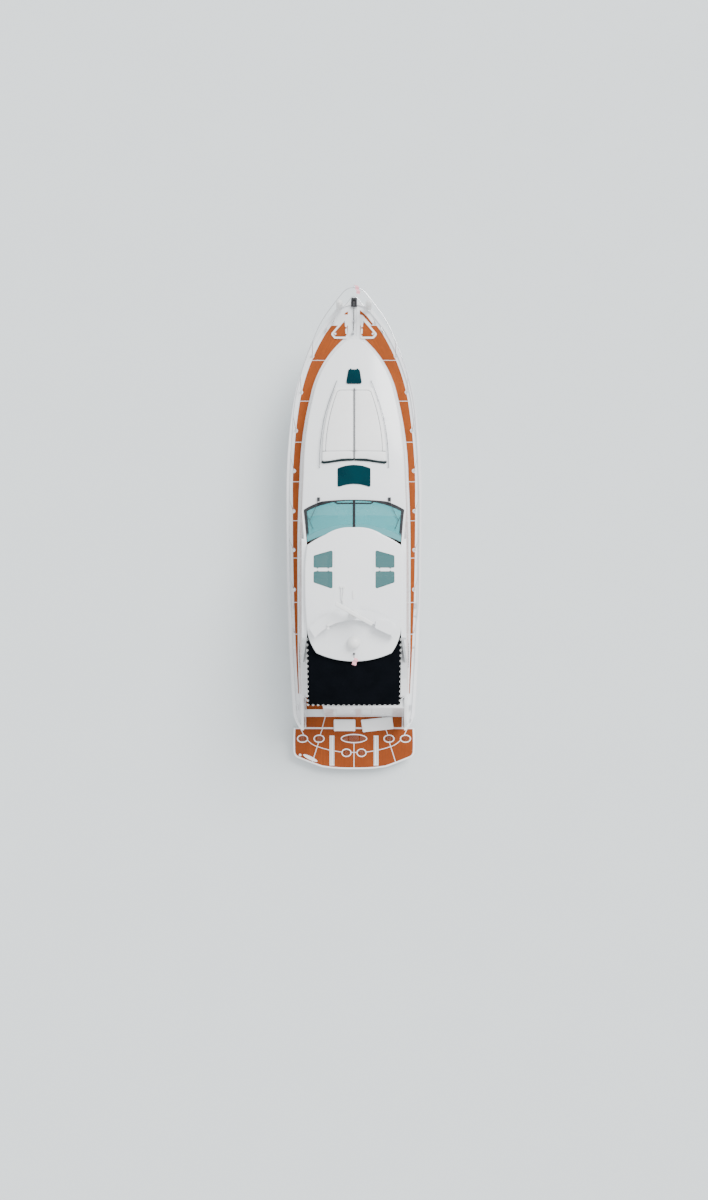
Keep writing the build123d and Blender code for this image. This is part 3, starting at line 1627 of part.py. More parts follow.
def transom_x_at(z):
    # The sloping after face of the transom moulding
    share = (z - transom_foot_z) / (transom_top_z - transom_foot_z)
    return transom_foot_x + share * (transom_top_x - transom_foot_x)


def door_hinge():
    # The door's hinge line lies on the moulding's face, just above the opening
    slope = atan2(transom_top_z - transom_foot_z, transom_top_x - transom_foot_x)
    z = locker_high_z + door_barrel
    out = door_barrel + seat_gap
    return Vector(transom_x_at(z) - out * sin(slope), 0, z + out * cos(slope))


def make_door():
    low, high = locker_low_z + lid_gap, locker_high_z - lid_gap
    low_x, high_x = transom_x_at(low), transom_x_at(high)
    points = ((low_x, low), (high_x, high), (high_x + door_thick, high), (low_x + door_thick, low))
    door = side_profile(points, -locker_half + lid_gap, locker_half - lid_gap)
    hinge = door_hinge()
    leaf_low = high - 50
    leaf_x = transom_x_at(leaf_low)
    leaf = ((hinge.X, hinge.Z), (leaf_x - 8, leaf_low), (leaf_x + 1, leaf_low), (transom_x_at(high) + 1, high),
            (hinge.X + 6, hinge.Z - 6))
    for y in (-door_hinge_y, 0, door_hinge_y):
        door += rod((hinge.X, y - 40, hinge.Z), (hinge.X, y + 40, hinge.Z), 2 * door_barrel)
        door += side_profile(leaf, y - 38, y + 38)
    return door


def make_sole():
    return block(well_aft_x + 1, well_fore_x - 1, -well_half + 1, well_half - 1, sole_z - sole_thick, sole_z)


def make_engines():
    length, width, high = engine_size
    x, y = engine_place
    return [block(x - length / 2, x + length / 2, side * (y - width / 2), side * (y + width / 2),
                  engine_seat_z, engine_seat_z + high) for side in (1, -1)]


def shaft_frame(side):
    return Pos(prop_x, side * prop_y, prop_z) * Rot(0, -shaft_angle, 0)


def make_propeller(side):
    hub = fillet((Rot(0, 90, 0) * Cylinder(hub_radius, hub_long)).edges(), hub_round)
    hub += Pos(shaft_length / 2, 0, 0) * Rot(0, 90, 0) * Cylinder(shaft_radius, shaft_length)
    centre, long_half, wide_half = (share * prop_radius for share in blade_shares)
    outline = Pos(centre, 0, 0) * Ellipse(long_half, wide_half)
    blade = Rot(0, 0, side * blade_turn) * Rot(0, 90, 0) * extrude(outline, blade_half_thick, both=True)
    for i in range(blade_count):
        hub += Rot(360 / blade_count * i, 0, 0) * blade
    return shaft_frame(side) * hub


def make_struts():
    # The bracket that carries each shaft just forward of its propeller
    struts = []
    for side in (1, -1):
        x, y, z = prop_x + strut_x, side * prop_y, prop_z + strut_x * tan(radians(shaft_angle))
        barrel = shaft_frame(side) * Pos(strut_x, 0, 0) * Rot(0, 90, 0) * Cylinder(barrel_radius, hub_long)
        bore = shaft_frame(side) * Pos(strut_x, 0, 0) * Rot(0, 90, 0) * Cylinder(
            shaft_radius + shaft_clearance, 400)
        leg = Pos(x, y, z) * extrude(Ellipse(*strut_half), 700)
        struts.append((barrel + leg) - bore - hull_body())
    return struts


def make_rudder(side):
    foil = Ellipse(rudder_chord / 2, rudder_thick / 2)
    foot = Pos(rudder_x - rudder_aft_shift, side * rudder_y, rudder_top_z - rudder_high)
    blade = extrude(foot * foil, rudder_high)
    stock = Pos(rudder_x, side * rudder_y, rudder_top_z - 1) * Cylinder(
        stock_radius, stock_high, align=standing)
    return blade + stock


def wheel_axis():
    # The wheel's centre and the way its column points, in side view
    tilt = radians(wheel_tilt)
    return Vector(wheel_x, helm_y, wheel_z), Vector(-sin(tilt), 0, cos(tilt))


def make_wheel():
    ring = Torus(wheel_radius, wheel_tube)
    ring += Pos(0, 0, -wheel_column / 2) * Cylinder(wheel_hub, wheel_column + 2 * wheel_tube)
    for i in range(wheel_spokes):
        spoke = Pos(wheel_radius / 2, 0, 0) * Box(wheel_radius, spoke_wide, spoke_thick)
        ring += Rot(0, 0, 360 / wheel_spokes * i) * spoke
    centre, _ = wheel_axis()
    return Pos(*centre) * Rot(0, -wheel_tilt, 0) * ring


def make_console():
    centre, out = wheel_axis()
    along = Vector(out.Z, 0, -out.X)
    face = centre - out * (wheel_column + wheel_tube + seat_gap)
    upper, lower = face + along * console_face[0], face - along * console_face[1]
    profile = ((roof_aft_x - 2, sole_z), (roof_aft_x - 2, console_high_z),
               (upper.X + console_brow[0], upper.Z + console_brow[1]), (upper.X, upper.Z), (lower.X, lower.Z),
               (lower.X + console_knee[0], lower.Z + console_knee[1]), (lower.X + console_foot, sole_z))
    return side_profile(profile, -console_half, console_half)


def furniture(row, low):
    aft, fore, y0, y1, top = row
    return block(aft, fore, y0, y1, low, top)


def make_helm_seat():
    # Twin seat on a plinth, the backrest split in the middle
    seat = fillet(furniture(helm_squab, helm_plinth[4]).edges(), helm_squab_round)
    body = furniture(helm_plinth, sole_z + seat_gap) + seat
    aft, fore, low, high = helm_back
    for y0, y1 in helm_back_spans:
        body += fillet(block(aft, fore, y0, y1, low, high).edges(), helm_back_round)
    return body


def make_settee():
    body = furniture(settee_base, sole_z + seat_gap)
    body += fillet(furniture(settee_back, settee_base[4]).edges().filter_by(Axis.Z), settee_back_round)
    return body + fillet(furniture(settee_squab, settee_base[4] - squab_sunk).edges(), squab_round)


def make_bar():
    # Galley unit with its basin sunk in the top
    bar = fillet(furniture(bar_top, sole_z + seat_gap).edges().filter_by(Axis.Z), bar_round)
    aft, fore, y0, y1, floor = basin
    bowl = block(aft, fore, y0, y1, floor, bar_top[4] + 1)
    return bar - fillet(bowl.edges().filter_by(Axis.Z), basin_round)


def make_table():
    x, y, radius = table_leg
    low = sole_z + table_high
    leg = Pos(x, y, sole_z + seat_gap) * Cylinder(radius, table_high, align=standing)
    leaf = block(*table_leaf, low, low + table_thick)
    return leg + fillet(leaf.edges().filter_by(Axis.Z), table_round)


def make_aft_seat():
    aft, fore = seat_back_x + 1, seat_back_x + aft_seat_deep
    outer, inner = -well_half, transom_port_y - squab_sunk
    base = block(aft, fore, outer + furniture_gap, inner, sole_z + seat_gap, aft_seat_z)
    squab = block(aft, fore - squab_sunk, outer + furniture_gap + squab_sunk, inner - squab_sunk,
                  aft_seat_z - squab_sunk, aft_seat_z - squab_sunk + aft_squab_thick + squab_sunk)
    return base + fillet(squab.edges(), squab_round)


def make_cushions():
    # Two loose deck cushions lying on the fixed platform and over its seam
    low = platform_z + teak_thick + seat_gap
    return [prism(fillet(corner_face(corners).vertices(), cushion_corner), low, low + cushion_thick)
            for corners in cushion_corners]


def make_berth():
    return berth_space(berth_floor_z + seat_gap, berth_floor_z + berth_thick, berth_gap)


def save(name, shape):
    if isinstance(shape, (list, tuple)):
        shape = Compound(children=[Compound(children=list(item.solids())) for item in shape])
    export_step(shape, f"parts/{name}.step")


save("hull", make_hull())
save("deck", make_deck())
save("rub_rail", make_rub_rail())
save("teak_decking", make_teak())
save("coachroof", make_coachroof())
save("hatch_rim", make_hatch_rim())
save("foredeck_hatch", make_hatch_lid())
save("deck_skylight", make_skylight())
save("sunpad_port", make_sunpad(1))
save("sunpad_starboard", make_sunpad(-1))
save("grab_rails", make_grab_rails())
save("windscreen_frame", make_screen_frame())
save("windscreen_glass", make_screen_glass())
save("wipers", make_wipers())
save("cabin_sides", make_cabin_sides())
save("side_glass", make_side_glass())
save("hardtop", make_hardtop())
for side, word in ((1, "port"), (-1, "starboard")):
    save(f"roof_hatch_front_{word}", make_roof_hatch(True, side))
    save(f"roof_hatch_aft_{word}", make_roof_hatch(False, side))
    save(f"bow_locker_lid_{word}", make_locker_lid(side))
    save(f"propeller_{word}", make_propeller(side))
    save(f"rudder_{word}", make_rudder(side))
save("radar_wing", make_radar_wing())
pedestal, array = make_radar()
save("radar_pedestal", pedestal)
save("radar_array", array)
save("satellite_dome", make_dome())
save("roof_fittings", make_roof_fittings())
save("ensign_staff", make_ensign_staff())
save("awning", make_awning())
save("awning_frame", make_awning_frame())
save("guard_rails", make_rails())
save("fenders", make_fenders())
save("anchor_roller", make_roller())
save("windlass", make_windlass())
save("deck_fittings", make_deck_fittings())
save("swim_platform", make_platform())
save("platform_teak", make_platform_teak())
save("lift_arms", make_arms())
save("transom_moulding", make_transom())
save("transom_door", make_door())
save("cockpit_sole", make_sole())
save("engines", make_engines())
save("shaft_brackets", make_struts())
save("steering_wheel", make_wheel())
save("helm_console", make_console())
save("helm_seat", make_helm_seat())
save("settee", make_settee())
save("wet_bar", make_bar())
save("saloon_table", make_table())
save("aft_seat", make_aft_seat())
save("platform_cushions", make_cushions())
save("cabin_berth", make_berth())
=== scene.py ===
import json
import math

import bmesh
import bpy
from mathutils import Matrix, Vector
from mathutils.bvhtree import BVHTree


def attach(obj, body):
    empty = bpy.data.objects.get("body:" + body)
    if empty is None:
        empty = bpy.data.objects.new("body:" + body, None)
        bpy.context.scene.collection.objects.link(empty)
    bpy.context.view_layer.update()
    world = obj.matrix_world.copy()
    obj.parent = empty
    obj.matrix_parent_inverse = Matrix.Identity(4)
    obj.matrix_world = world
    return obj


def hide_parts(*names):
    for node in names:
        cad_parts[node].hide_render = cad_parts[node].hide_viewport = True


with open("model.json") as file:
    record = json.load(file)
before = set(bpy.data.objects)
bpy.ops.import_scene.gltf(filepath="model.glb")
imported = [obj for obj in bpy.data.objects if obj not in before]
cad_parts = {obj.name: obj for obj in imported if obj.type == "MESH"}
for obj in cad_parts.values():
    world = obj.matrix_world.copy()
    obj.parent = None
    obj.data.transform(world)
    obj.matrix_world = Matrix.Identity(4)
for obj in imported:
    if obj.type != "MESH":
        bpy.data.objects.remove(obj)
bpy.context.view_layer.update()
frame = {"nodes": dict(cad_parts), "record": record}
nodes = frame["nodes"]
slotOf = {part["node"]: part["material_slot"] for part in frame["record"]["subparts"]}
bodyOf = {name: body for body, members in frame["record"]["behaviour"]["bodies"].items()
          for name in members}
print("frame loaded:", len(nodes), "nodes")


# Shared shader groups

toneShape = {
    "detail": 5.0, "roughness": 0.55, "patch": (0.35, 0.65),
    "fineShare": 9.0, "fineDetail": 3.0, "fine": (0.3, 0.7),
}
# dipShade: how much painted shade the dips between threads take
weaveShape = {"fibres": 260.0, "fibreDetail": 2.0, "threadShare": 0.5, "dipShade": 0.82}
plankShape = {
    # half width of the deck edge as a polynomial of x, highest power first
    "edge": (-1.937e-05, -0.0002214, -0.0006491, -0.004826, 0.007908, 2.248),
    "along": 2.2, "across": 60.0, "scale": 2.0, "detail": 6.0, "roughness": 0.6, "grainHigh": 0.25,
}


colorSockets = ("Base", "Second", "Color")


def newGroup(name, inputs, outputs):
    group = bpy.data.node_groups.new(name, "ShaderNodeTree")
    for way, labels in (("INPUT", inputs), ("OUTPUT", outputs)):
        for label in labels:
            kind = "NodeSocketColor" if label in colorSockets else "NodeSocketFloat"
            group.interface.new_socket(label, in_out=way, socket_type=kind)
    return group, group.nodes.new("NodeGroupInput").outputs, group.nodes.new("NodeGroupOutput").inputs


def addNode(tree, kind, links=None, **settings):
    node = tree.nodes.new(kind)
    for key, value in settings.items():
        setattr(node, key, value)
    for socket, source in (links or {}).items():
        if isinstance(source, bpy.types.NodeSocket):
            tree.links.new(source, node.inputs[socket])
        else:
            node.inputs[socket].default_value = source
    return node


def maths(tree, operation, *values, clamp=False):
    links = dict(enumerate(values))
    return addNode(tree, "ShaderNodeMath", links, operation=operation, use_clamp=clamp).outputs[0]


def spread(tree, value, low, high, start=0.0, end=1.0):
    links = {"Value": value, "From Min": low, "From Max": high, "To Min": start, "To Max": end}
    return addNode(tree, "ShaderNodeMapRange", links).outputs[0]


def noise(tree, **inputs):
    return addNode(tree, "ShaderNodeTexNoise", inputs).outputs[0]


def objectPlace(tree):
    return addNode(tree, "ShaderNodeTexCoord").outputs["Object"]


def axesOf(tree, place):
    return addNode(tree, "ShaderNodeSeparateXYZ", {0: place}).outputs


def mixColor(tree, share, first, second):
    # each colour is a socket or three numbers
    node = addNode(tree, "ShaderNodeMix", {"Factor": share}, data_type="RGBA")
    for socket, value in ((node.inputs[6], first), (node.inputs[7], second)):
        if isinstance(value, bpy.types.NodeSocket):
            tree.links.new(value, socket)
        else:
            socket.default_value = (*value, 1)
    return node.outputs[2]


def makeToneGroup(s):
    # soft patches of a second tone, and the roughness and grain that go with them
    group, enter, leave = newGroup("softTone", ("Base", "Second", "Size", "Smooth", "Rough"),
                                   ("Color", "Roughness", "Grain"))
    place = objectPlace(group)
    scale = maths(group, "DIVIDE", 1.0, enter["Size"])
    broad = noise(group, Vector=place, Scale=scale, Detail=s["detail"], Roughness=s["roughness"])
    fineScale = maths(group, "MULTIPLY", scale, s["fineShare"])
    fine = noise(group, Vector=place, Scale=fineScale, Detail=s["fineDetail"])
    patch = spread(group, broad, *s["patch"])
    group.links.new(mixColor(group, patch, enter["Base"], enter["Second"]), leave["Color"])
    group.links.new(spread(group, fine, *s["fine"], enter["Smooth"], enter["Rough"]), leave["Roughness"])
    group.links.new(fine, leave["Grain"])
    return group


def makeWeaveGroup(s):
    # plain weave: threads over and under one another, fibres along them, and shade painted into the dips
    # between threads
    group, enter, leave = newGroup("plainWeave", ("Thread",), ("Height", "Shade"))
    place = objectPlace(group)
    x, y, _ = axesOf(group, place)
    turn = maths(group, "DIVIDE", math.pi, enter["Thread"])
    waves = [maths(group, "SINE", maths(group, "MULTIPLY", axis, turn)) for axis in (x, y)]
    height = maths(group, "MULTIPLY", *waves)
    fibres = noise(group, Vector=place, Scale=s["fibres"], Detail=s["fibreDetail"])
    group.links.new(maths(group, "MULTIPLY_ADD", height, s["threadShare"], fibres), leave["Height"])
    group.links.new(spread(group, height, -1.0, 1.0, s["dipShade"], 1.0), leave["Shade"])
    return group


def makePlankGroup(s):
    # seams between planks laid side by side, which follow the deck edge or run straight along x
    group, enter, leave = newGroup("plankSeams", ("Wide", "Seam", "Follow"),
                                   ("Seam", "Plank", "Grain", "Height"))
    x, y, _ = axesOf(group, objectPlace(group))
    edge = 0.0
    for factor in s["edge"]:
        edge = maths(group, "MULTIPLY_ADD", edge, x, factor)
    side = maths(group, "SUBTRACT", maths(group, "ABSOLUTE", y), edge)
    straight = maths(group, "MULTIPLY", y, maths(group, "SUBTRACT", 1.0, enter["Follow"]))
    measure = maths(group, "MULTIPLY_ADD", side, enter["Follow"], straight)
    count = maths(group, "DIVIDE", measure, enter["Wide"])
    offCentre = maths(group, "ABSOLUTE", maths(group, "SUBTRACT", maths(group, "FRACT", count), 0.5))
    near = maths(group, "SUBTRACT", 0.5, offCentre)
    half = maths(group, "DIVIDE", maths(group, "MULTIPLY", enter["Seam"], 0.5), enter["Wide"])
    seam = maths(group, "LESS_THAN", near, half)
    number = {"W": maths(group, "FLOOR", count)}
    plank = addNode(group, "ShaderNodeTexWhiteNoise", number, noise_dimensions="1D").outputs[0]
    along = maths(group, "MULTIPLY", x, s["along"])
    across = maths(group, "MULTIPLY", measure, s["across"])
    stretched = addNode(group, "ShaderNodeCombineXYZ", {0: along, 1: across, 2: plank}).outputs[0]
    grain = noise(group, Vector=stretched, Scale=s["scale"], Detail=s["detail"], Roughness=s["roughness"])
    height = maths(group, "MULTIPLY_ADD", seam, -1.0, maths(group, "MULTIPLY", grain, s["grainHigh"]))
    for label, value in (("Seam", seam), ("Plank", plank), ("Grain", grain), ("Height", height)):
        group.links.new(value, leave[label])
    return group


toneGroup = makeToneGroup(toneShape)
weaveGroup = makeWeaveGroup(weaveShape)
plankGroup = makePlankGroup(plankShape)


# Materials

socketOf = {
    "specular": "Specular IOR Level", "coat": "Coat Weight", "coatRough": "Coat Roughness",
    "sheen": "Sheen Weight", "metallic": "Metallic", "alpha": "Alpha",
}


def newMaterial(name, **fixed):
    material = bpy.data.materials.new(name)
    material.use_nodes = True
    shader = material.node_tree.nodes["Principled BSDF"]
    for key, value in fixed.items():
        shader.inputs[socketOf[key]].default_value = value
    return material, material.node_tree, shader


def dress(tree, shader, color, roughness):
    tree.links.new(color, shader.inputs["Base Color"])
    tree.links.new(roughness, shader.inputs["Roughness"])


def bumpInto(tree, shader, height, strength, distance):
    bump = addNode(tree, "ShaderNodeBump", {"Height": height, "Strength": strength, "Distance": distance})
    tree.links.new(bump.outputs[0], shader.inputs["Normal"])


def groupNode(tree, group, **values):
    node = addNode(tree, "ShaderNodeGroup", node_tree=group)
    for socket, value in values.items():
        node.inputs[socket].default_value = value
    return node.outputs


def toneNode(tree, base, second, size, smooth, rough):
    return groupNode(tree, toneGroup, Base=(*base, 1), Second=(*second, 1), Size=size, Smooth=smooth,
                     Rough=rough)


def dimmed(color, share):
    return [v * share for v in color]


def toneMaterial(name, base, second, size, smooth, rough, *grain, **fixed):
    material, tree, shader = newMaterial(name, **fixed)
    tone = toneNode(tree, base, second, size, smooth, rough)
    dress(tree, shader, tone["Color"], tone["Roughness"])
    if grain:
        bumpInto(tree, shader, tone["Grain"], *grain)
    return material


clothFinish = {"smooth": 0.75, "rough": 0.95, "dipShade": 0.55, "bump": 0.25, "bumpShare": 0.4}


def clothMaterial(name, base, second, thread, size, s=clothFinish, **fixed):
    material, tree, shader = newMaterial(name, **fixed)
    tone = toneNode(tree, base, second, size, s["smooth"], s["rough"])
    weave = groupNode(tree, weaveGroup, Thread=thread)
    # painted shade: the weave's dips take a dimmed base colour
    color = mixColor(tree, weave["Shade"], dimmed(base, s["dipShade"]), tone["Color"])
    dress(tree, shader, color, tone["Roughness"])
    bumpInto(tree, shader, weave["Height"], s["bump"], thread * s["bumpShare"])
    return material


plankFinish = {
    "specular": 0.2, "patch": 0.9, "smooth": 0.5, "rough": 0.72, "seam": 0.005,
    "board": 0.72, "boardMix": 0.5, "streak": 0.6, "streaks": (0.42, 0.68), "streakMix": 0.55,
    "bump": 0.35, "bumpDeep": 0.002,
}


def plankMaterial(name, base, second, caulk, wide, follow, s=plankFinish):
    material, tree, shader = newMaterial(name, specular=s["specular"])
    tone = toneNode(tree, base, second, s["patch"], s["smooth"], s["rough"])
    planks = groupNode(tree, plankGroup, Wide=wide, Seam=s["seam"], Follow=follow)
    share = spread(tree, planks["Plank"], 0.0, 1.0, 0.0, s["boardMix"])
    board = mixColor(tree, share, tone["Color"], dimmed(base, s["board"]))
    share = spread(tree, planks["Grain"], *s["streaks"], 0.0, s["streakMix"])
    streaked = mixColor(tree, share, board, dimmed(second, s["streak"]))
    dress(tree, shader, mixColor(tree, planks["Seam"], streaked, caulk), tone["Roughness"])
    bumpInto(tree, shader, planks["Height"], s["bump"], s["bumpDeep"])
    return material


joineryWood = {
    "light": (0.34, 0.125, 0.045), "dark": (0.24, 0.078, 0.026), "pore": (0.13, 0.04, 0.014),
    "stretch": (1.0, 9.0, 9.0), "figure": 1.6, "figureDetail": 5.0, "distortion": 0.6,
    "figures": (0.35, 0.65), "pores": 14.0, "poreDetail": 2.0, "poreShare": (0.55, 0.75, 0.0, 0.5),
    "roughness": (0.3, 0.7, 0.28, 0.36),
    "fixed": {"coat": 0.35, "coatRough": 0.2},
}


def woodMaterial(name, s):
    # varnished joinery: figure drawn out along x, with fine pores in the same direction
    material, tree, shader = newMaterial(name, **s["fixed"])
    mapping = {"Vector": objectPlace(tree), "Scale": s["stretch"]}
    along = addNode(tree, "ShaderNodeMapping", mapping).outputs[0]
    figure = noise(tree, Vector=along, Scale=s["figure"], Detail=s["figureDetail"],
                   Distortion=s["distortion"])
    pores = noise(tree, Vector=along, Scale=s["pores"], Detail=s["poreDetail"])
    tone = mixColor(tree, spread(tree, figure, *s["figures"]), s["light"], s["dark"])
    color = mixColor(tree, spread(tree, pores, *s["poreShare"]), tone, s["pore"])
    dress(tree, shader, color, spread(tree, pores, *s["roughness"]))
    return material


hullFinish = {
    "white": (0.83, 0.84, 0.85), "shade": (0.80, 0.81, 0.825), "tone": (1.6, 0.12, 0.22),
    "stripe": (0.035, 0.05, 0.085), "stripeLow": 0.06, "stripeHigh": 0.17,
    "bottom": (0.03, 0.045, 0.08), "bottomWorn": (0.045, 0.06, 0.095), "bottomRough": 0.45,
    "wear": 3.0, "wearDetail": 6.0, "fixed": {"coat": 0.5, "coatRough": 0.08},
}


def hullMaterial(name, s):
    # white topsides over a boot stripe and dark bottom paint, divided by height
    material, tree, shader = newMaterial(name, **s["fixed"])
    tone = toneNode(tree, s["white"], s["shade"], *s["tone"])
    _, _, z = axesOf(tree, objectPlace(tree))
    wear = noise(tree, Scale=s["wear"], Detail=s["wearDetail"])
    paint = mixColor(tree, wear, s["bottom"], s["bottomWorn"])
    stripe = mixColor(tree, maths(tree, "GREATER_THAN", z, s["stripeHigh"]), s["stripe"], tone["Color"])
    color = mixColor(tree, maths(tree, "GREATER_THAN", z, s["stripeLow"]), paint, stripe)
    below = maths(tree, "LESS_THAN", z, s["stripeLow"])
    roughness = maths(tree, "MULTIPLY_ADD", below, s["bottomRough"], tone["Roughness"], clamp=True)
    dress(tree, shader, color, roughness)
    return material


screenFrame = {
    "black": (0.008, 0.009, 0.011), "second": (0.012, 0.013, 0.016), "tone": (0.3, 0.36, 0.42),
    "tint": (0.075, 0.25, 0.27), "tinted": (3.44, 3.56), "mullionHalf": 0.045, "specular": 0.25,
}


def screenFrameMaterial(name, s):
    # black frame whose header, at the roof's edge, is tinted like the glass it holds
    material, tree, shader = newMaterial(name, specular=s["specular"])
    tone = toneNode(tree, s["black"], s["second"], *s["tone"])
    _, y, z = axesOf(tree, objectPlace(tree))
    beside = maths(tree, "GREATER_THAN", maths(tree, "ABSOLUTE", y), s["mullionHalf"])
    share = maths(tree, "MULTIPLY", spread(tree, z, *s["tinted"]), beside)
    dress(tree, shader, mixColor(tree, share, tone["Color"], s["tint"]), tone["Roughness"])
    return material


# plain finishes: name, two tones, size of the patches, least and most roughness, grain and its depth
# cloth: name, two tones, thread, size of the patches; planks: name, two tones, caulking, width, follow
materials = {
    "gelcoat_deck": toneMaterial("whiteGelcoat", (0.83, 0.84, 0.85), (0.80, 0.815, 0.83), 1.4, 0.18, 0.28,
                                 coat=0.4, coatRough=0.12),
    "gelcoat_hull": hullMaterial("hullGelcoat", hullFinish),
    "rub_rail": toneMaterial("railRubber", (0.72, 0.73, 0.75), (0.66, 0.67, 0.69), 0.5, 0.45, 0.6),
    "teak": plankMaterial("teakPlanks", (0.36, 0.072, 0.006), (0.27, 0.051, 0.004), (0.13, 0.046, 0.014),
                          0.052, 1.0),
    "polished_steel": toneMaterial("polishedSteel", (0.80, 0.81, 0.82), (0.74, 0.75, 0.765), 0.2, 0.1, 0.22,
                                   metallic=1.0),
    "tinted_glass": toneMaterial("tintedGlass", (0.0004, 0.030, 0.040), (0.0004, 0.022, 0.031), 0.6,
                                 0.08, 0.14, alpha=0.95, specular=0.08),
    "dark_glass": toneMaterial("darkGlass", (0.010, 0.028, 0.034), (0.008, 0.022, 0.028), 0.6, 0.06, 0.12,
                               alpha=0.92, specular=0.28),
    "clear_glass": toneMaterial("clearGlass", (0.085, 0.39, 0.42), (0.075, 0.36, 0.385), 0.8, 0.04, 0.09,
                                alpha=0.55, specular=0.28),
    "white_vinyl": toneMaterial("whiteVinyl", (0.84, 0.84, 0.835), (0.80, 0.80, 0.795), 0.5, 0.42, 0.58,
                                0.12, 0.0015, sheen=0.15),
    "black_frame": toneMaterial("blackFrame", (0.012, 0.013, 0.016), (0.018, 0.019, 0.022), 0.3, 0.25, 0.45),
    "white_casing": toneMaterial("whiteCasing", (0.82, 0.82, 0.81), (0.78, 0.785, 0.78), 0.4, 0.28, 0.4),
    "black_canvas": clothMaterial("blackCanvas", (0.0012, 0.0018, 0.003), (0.002, 0.0028, 0.0045), 0.004,
                                  0.5, specular=0.04),
    "fender_vinyl": toneMaterial("fenderVinyl", (0.80, 0.80, 0.79), (0.72, 0.72, 0.71), 0.15, 0.4, 0.6),
    "engine_paint": toneMaterial("enginePaint", (0.30, 0.32, 0.33), (0.24, 0.26, 0.27), 0.3, 0.4, 0.6),
    "bronze": toneMaterial("bronze", (0.48, 0.30, 0.13), (0.36, 0.22, 0.11), 0.12, 0.25, 0.5, metallic=1.0),
    "wheel_leather": toneMaterial("wheelLeather", (0.025, 0.025, 0.027), (0.035, 0.034, 0.033), 0.05,
                                  0.45, 0.6, 0.2, 0.001),
    "dash_vinyl": toneMaterial("dashVinyl", (0.55, 0.57, 0.57), (0.50, 0.525, 0.525), 0.3, 0.5, 0.65,
                               0.1, 0.002),
    "cream_leather": toneMaterial("creamLeather", (0.70, 0.66, 0.58), (0.64, 0.60, 0.52), 0.25, 0.4, 0.6,
                                  0.15, 0.0015),
    "joinery": woodMaterial("joinery", joineryWood),
}
platformTeak = plankMaterial("platformPlanks", (0.31, 0.060, 0.006), (0.24, 0.043, 0.004),
                             (0.10, 0.036, 0.014), 0.055, 0.0)
soleTeak = plankMaterial("solePlanks", (0.38, 0.092, 0.014), (0.30, 0.068, 0.010), (0.15, 0.06, 0.027),
                         0.055, 0.0)
roofGlass = toneMaterial("roofGlass", (0.055, 0.165, 0.175), (0.075, 0.175, 0.18), 0.7, 0.05, 0.10,
                         alpha=0.7, specular=0.25)
# grab rail steel, its colour darkened to paint the reflection of dark surroundings
darkReflectionSteel = toneMaterial("darkReflectionSteel", (0.30, 0.31, 0.325), (0.24, 0.25, 0.265), 0.2, 0.14, 0.26,
                         metallic=1.0)
pipingCloth = toneMaterial("pipingCloth", (0.13, 0.14, 0.15), (0.10, 0.11, 0.12), 0.1, 0.6, 0.8)
# painted shadow: near-black colour for the tube under the sunpad's after edge
shadowBandPaint = toneMaterial("shadowBandPaint", (0.002, 0.010, 0.012), (0.004, 0.014, 0.016), 0.4, 0.6, 0.75,
                         specular=0.2)
whiteCord = clothMaterial("whiteCord", (0.82, 0.82, 0.80), (0.74, 0.74, 0.72), 0.002, 0.1)
flagCloth = clothMaterial("flagCloth", (0.85, 0.42, 0.47), (0.80, 0.36, 0.42), 0.002, 0.1)
galvanised = toneMaterial("galvanisedChain", (0.30, 0.31, 0.32), (0.22, 0.22, 0.225), 0.03, 0.4, 0.6,
                          0.2, 0.001, metallic=1.0)
ownFinish = {"platform_teak": platformTeak, "cockpit_sole": soleTeak, "grab_rails": darkReflectionSteel,
             "windscreen_frame": screenFrameMaterial("screenFrame", screenFrame)}
ownFinish.update({name: roofGlass for name in nodes if name.startswith("roof_hatch")})
for name, obj in nodes.items():
    obj.data.materials.clear()
    obj.data.materials.append(ownFinish.get(name, materials[slotOf[name]]))
print("materials set")


# Helpers that make and place pieces

mergeGap = 1e-5
mergeGapCad = 2e-5
# edges that turn by more than this stay sharp, in degrees
sharpOver = {"plain": 32, "copies": 40, "tubes": 50}
# where plumb and level lines start, clear of the boat
farAbove = 7.0
farAside = 4.0
nearlyPlumb = 1e-4
bothSides = ((1, "port"), (-1, "starboard"))


def bmeshOf(mesh, merge=0.0):
    work = bmesh.new()
    work.from_mesh(mesh)
    if merge:
        bmesh.ops.remove_doubles(work, verts=work.verts, dist=merge)
    return work


def store(work, mesh):
    work.to_mesh(mesh)
    work.free()
    return mesh


def meshOf(work, name):
    return store(work, bpy.data.meshes.new(name))


def addObject(name, data):
    obj = bpy.data.objects.new(name, data)
    bpy.context.scene.collection.objects.link(obj)
    return obj


def evaluatedMesh(obj):
    bpy.context.view_layer.update()
    return bpy.data.meshes.new_from_object(obj.evaluated_get(bpy.context.evaluated_depsgraph_get()))


def meshFrom(name, vertices, faces):
    mesh = bpy.data.meshes.new(name)
    mesh.from_pydata(vertices, [], faces)
    mesh.validate()
    return mesh


def softEdges(mesh, degrees=sharpOver["plain"]):
    mesh.shade_smooth()
    mesh.set_sharp_from_angle(angle=math.radians(degrees))


def newPiece(name, mesh, slot, body="yacht", material=None):
    # a piece that rides a body, or one of the stage's own where body is None
    obj = addObject(name, mesh)
    mesh.materials.clear()
    mesh.materials.append(material or materials[slot])
    if body:
        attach(obj, body)
    return obj


def closedNormals(mesh):
    work = bmeshOf(mesh, mergeGap)
    bmesh.ops.recalc_face_normals(work, faces=work.faces)
    return store(work, mesh)


def surfaceOf(name):
    mesh = nodes[name].data
    return BVHTree.FromPolygons([v.co for v in mesh.vertices], [p.vertices for p in mesh.polygons])


surfaces = {name: surfaceOf(name) for name in (
    "hull", "deck", "coachroof", "awning", "sunpad_port", "sunpad_starboard", "cabin_sides", "helm_console",
    "swim_platform", "bow_locker_lid_port", "bow_locker_lid_starboard", "transom_door")}


def castOn(node, start, way):
    hit, normal, _, _ = surfaces[node].ray_cast(Vector(start), Vector(way))
    return hit, normal


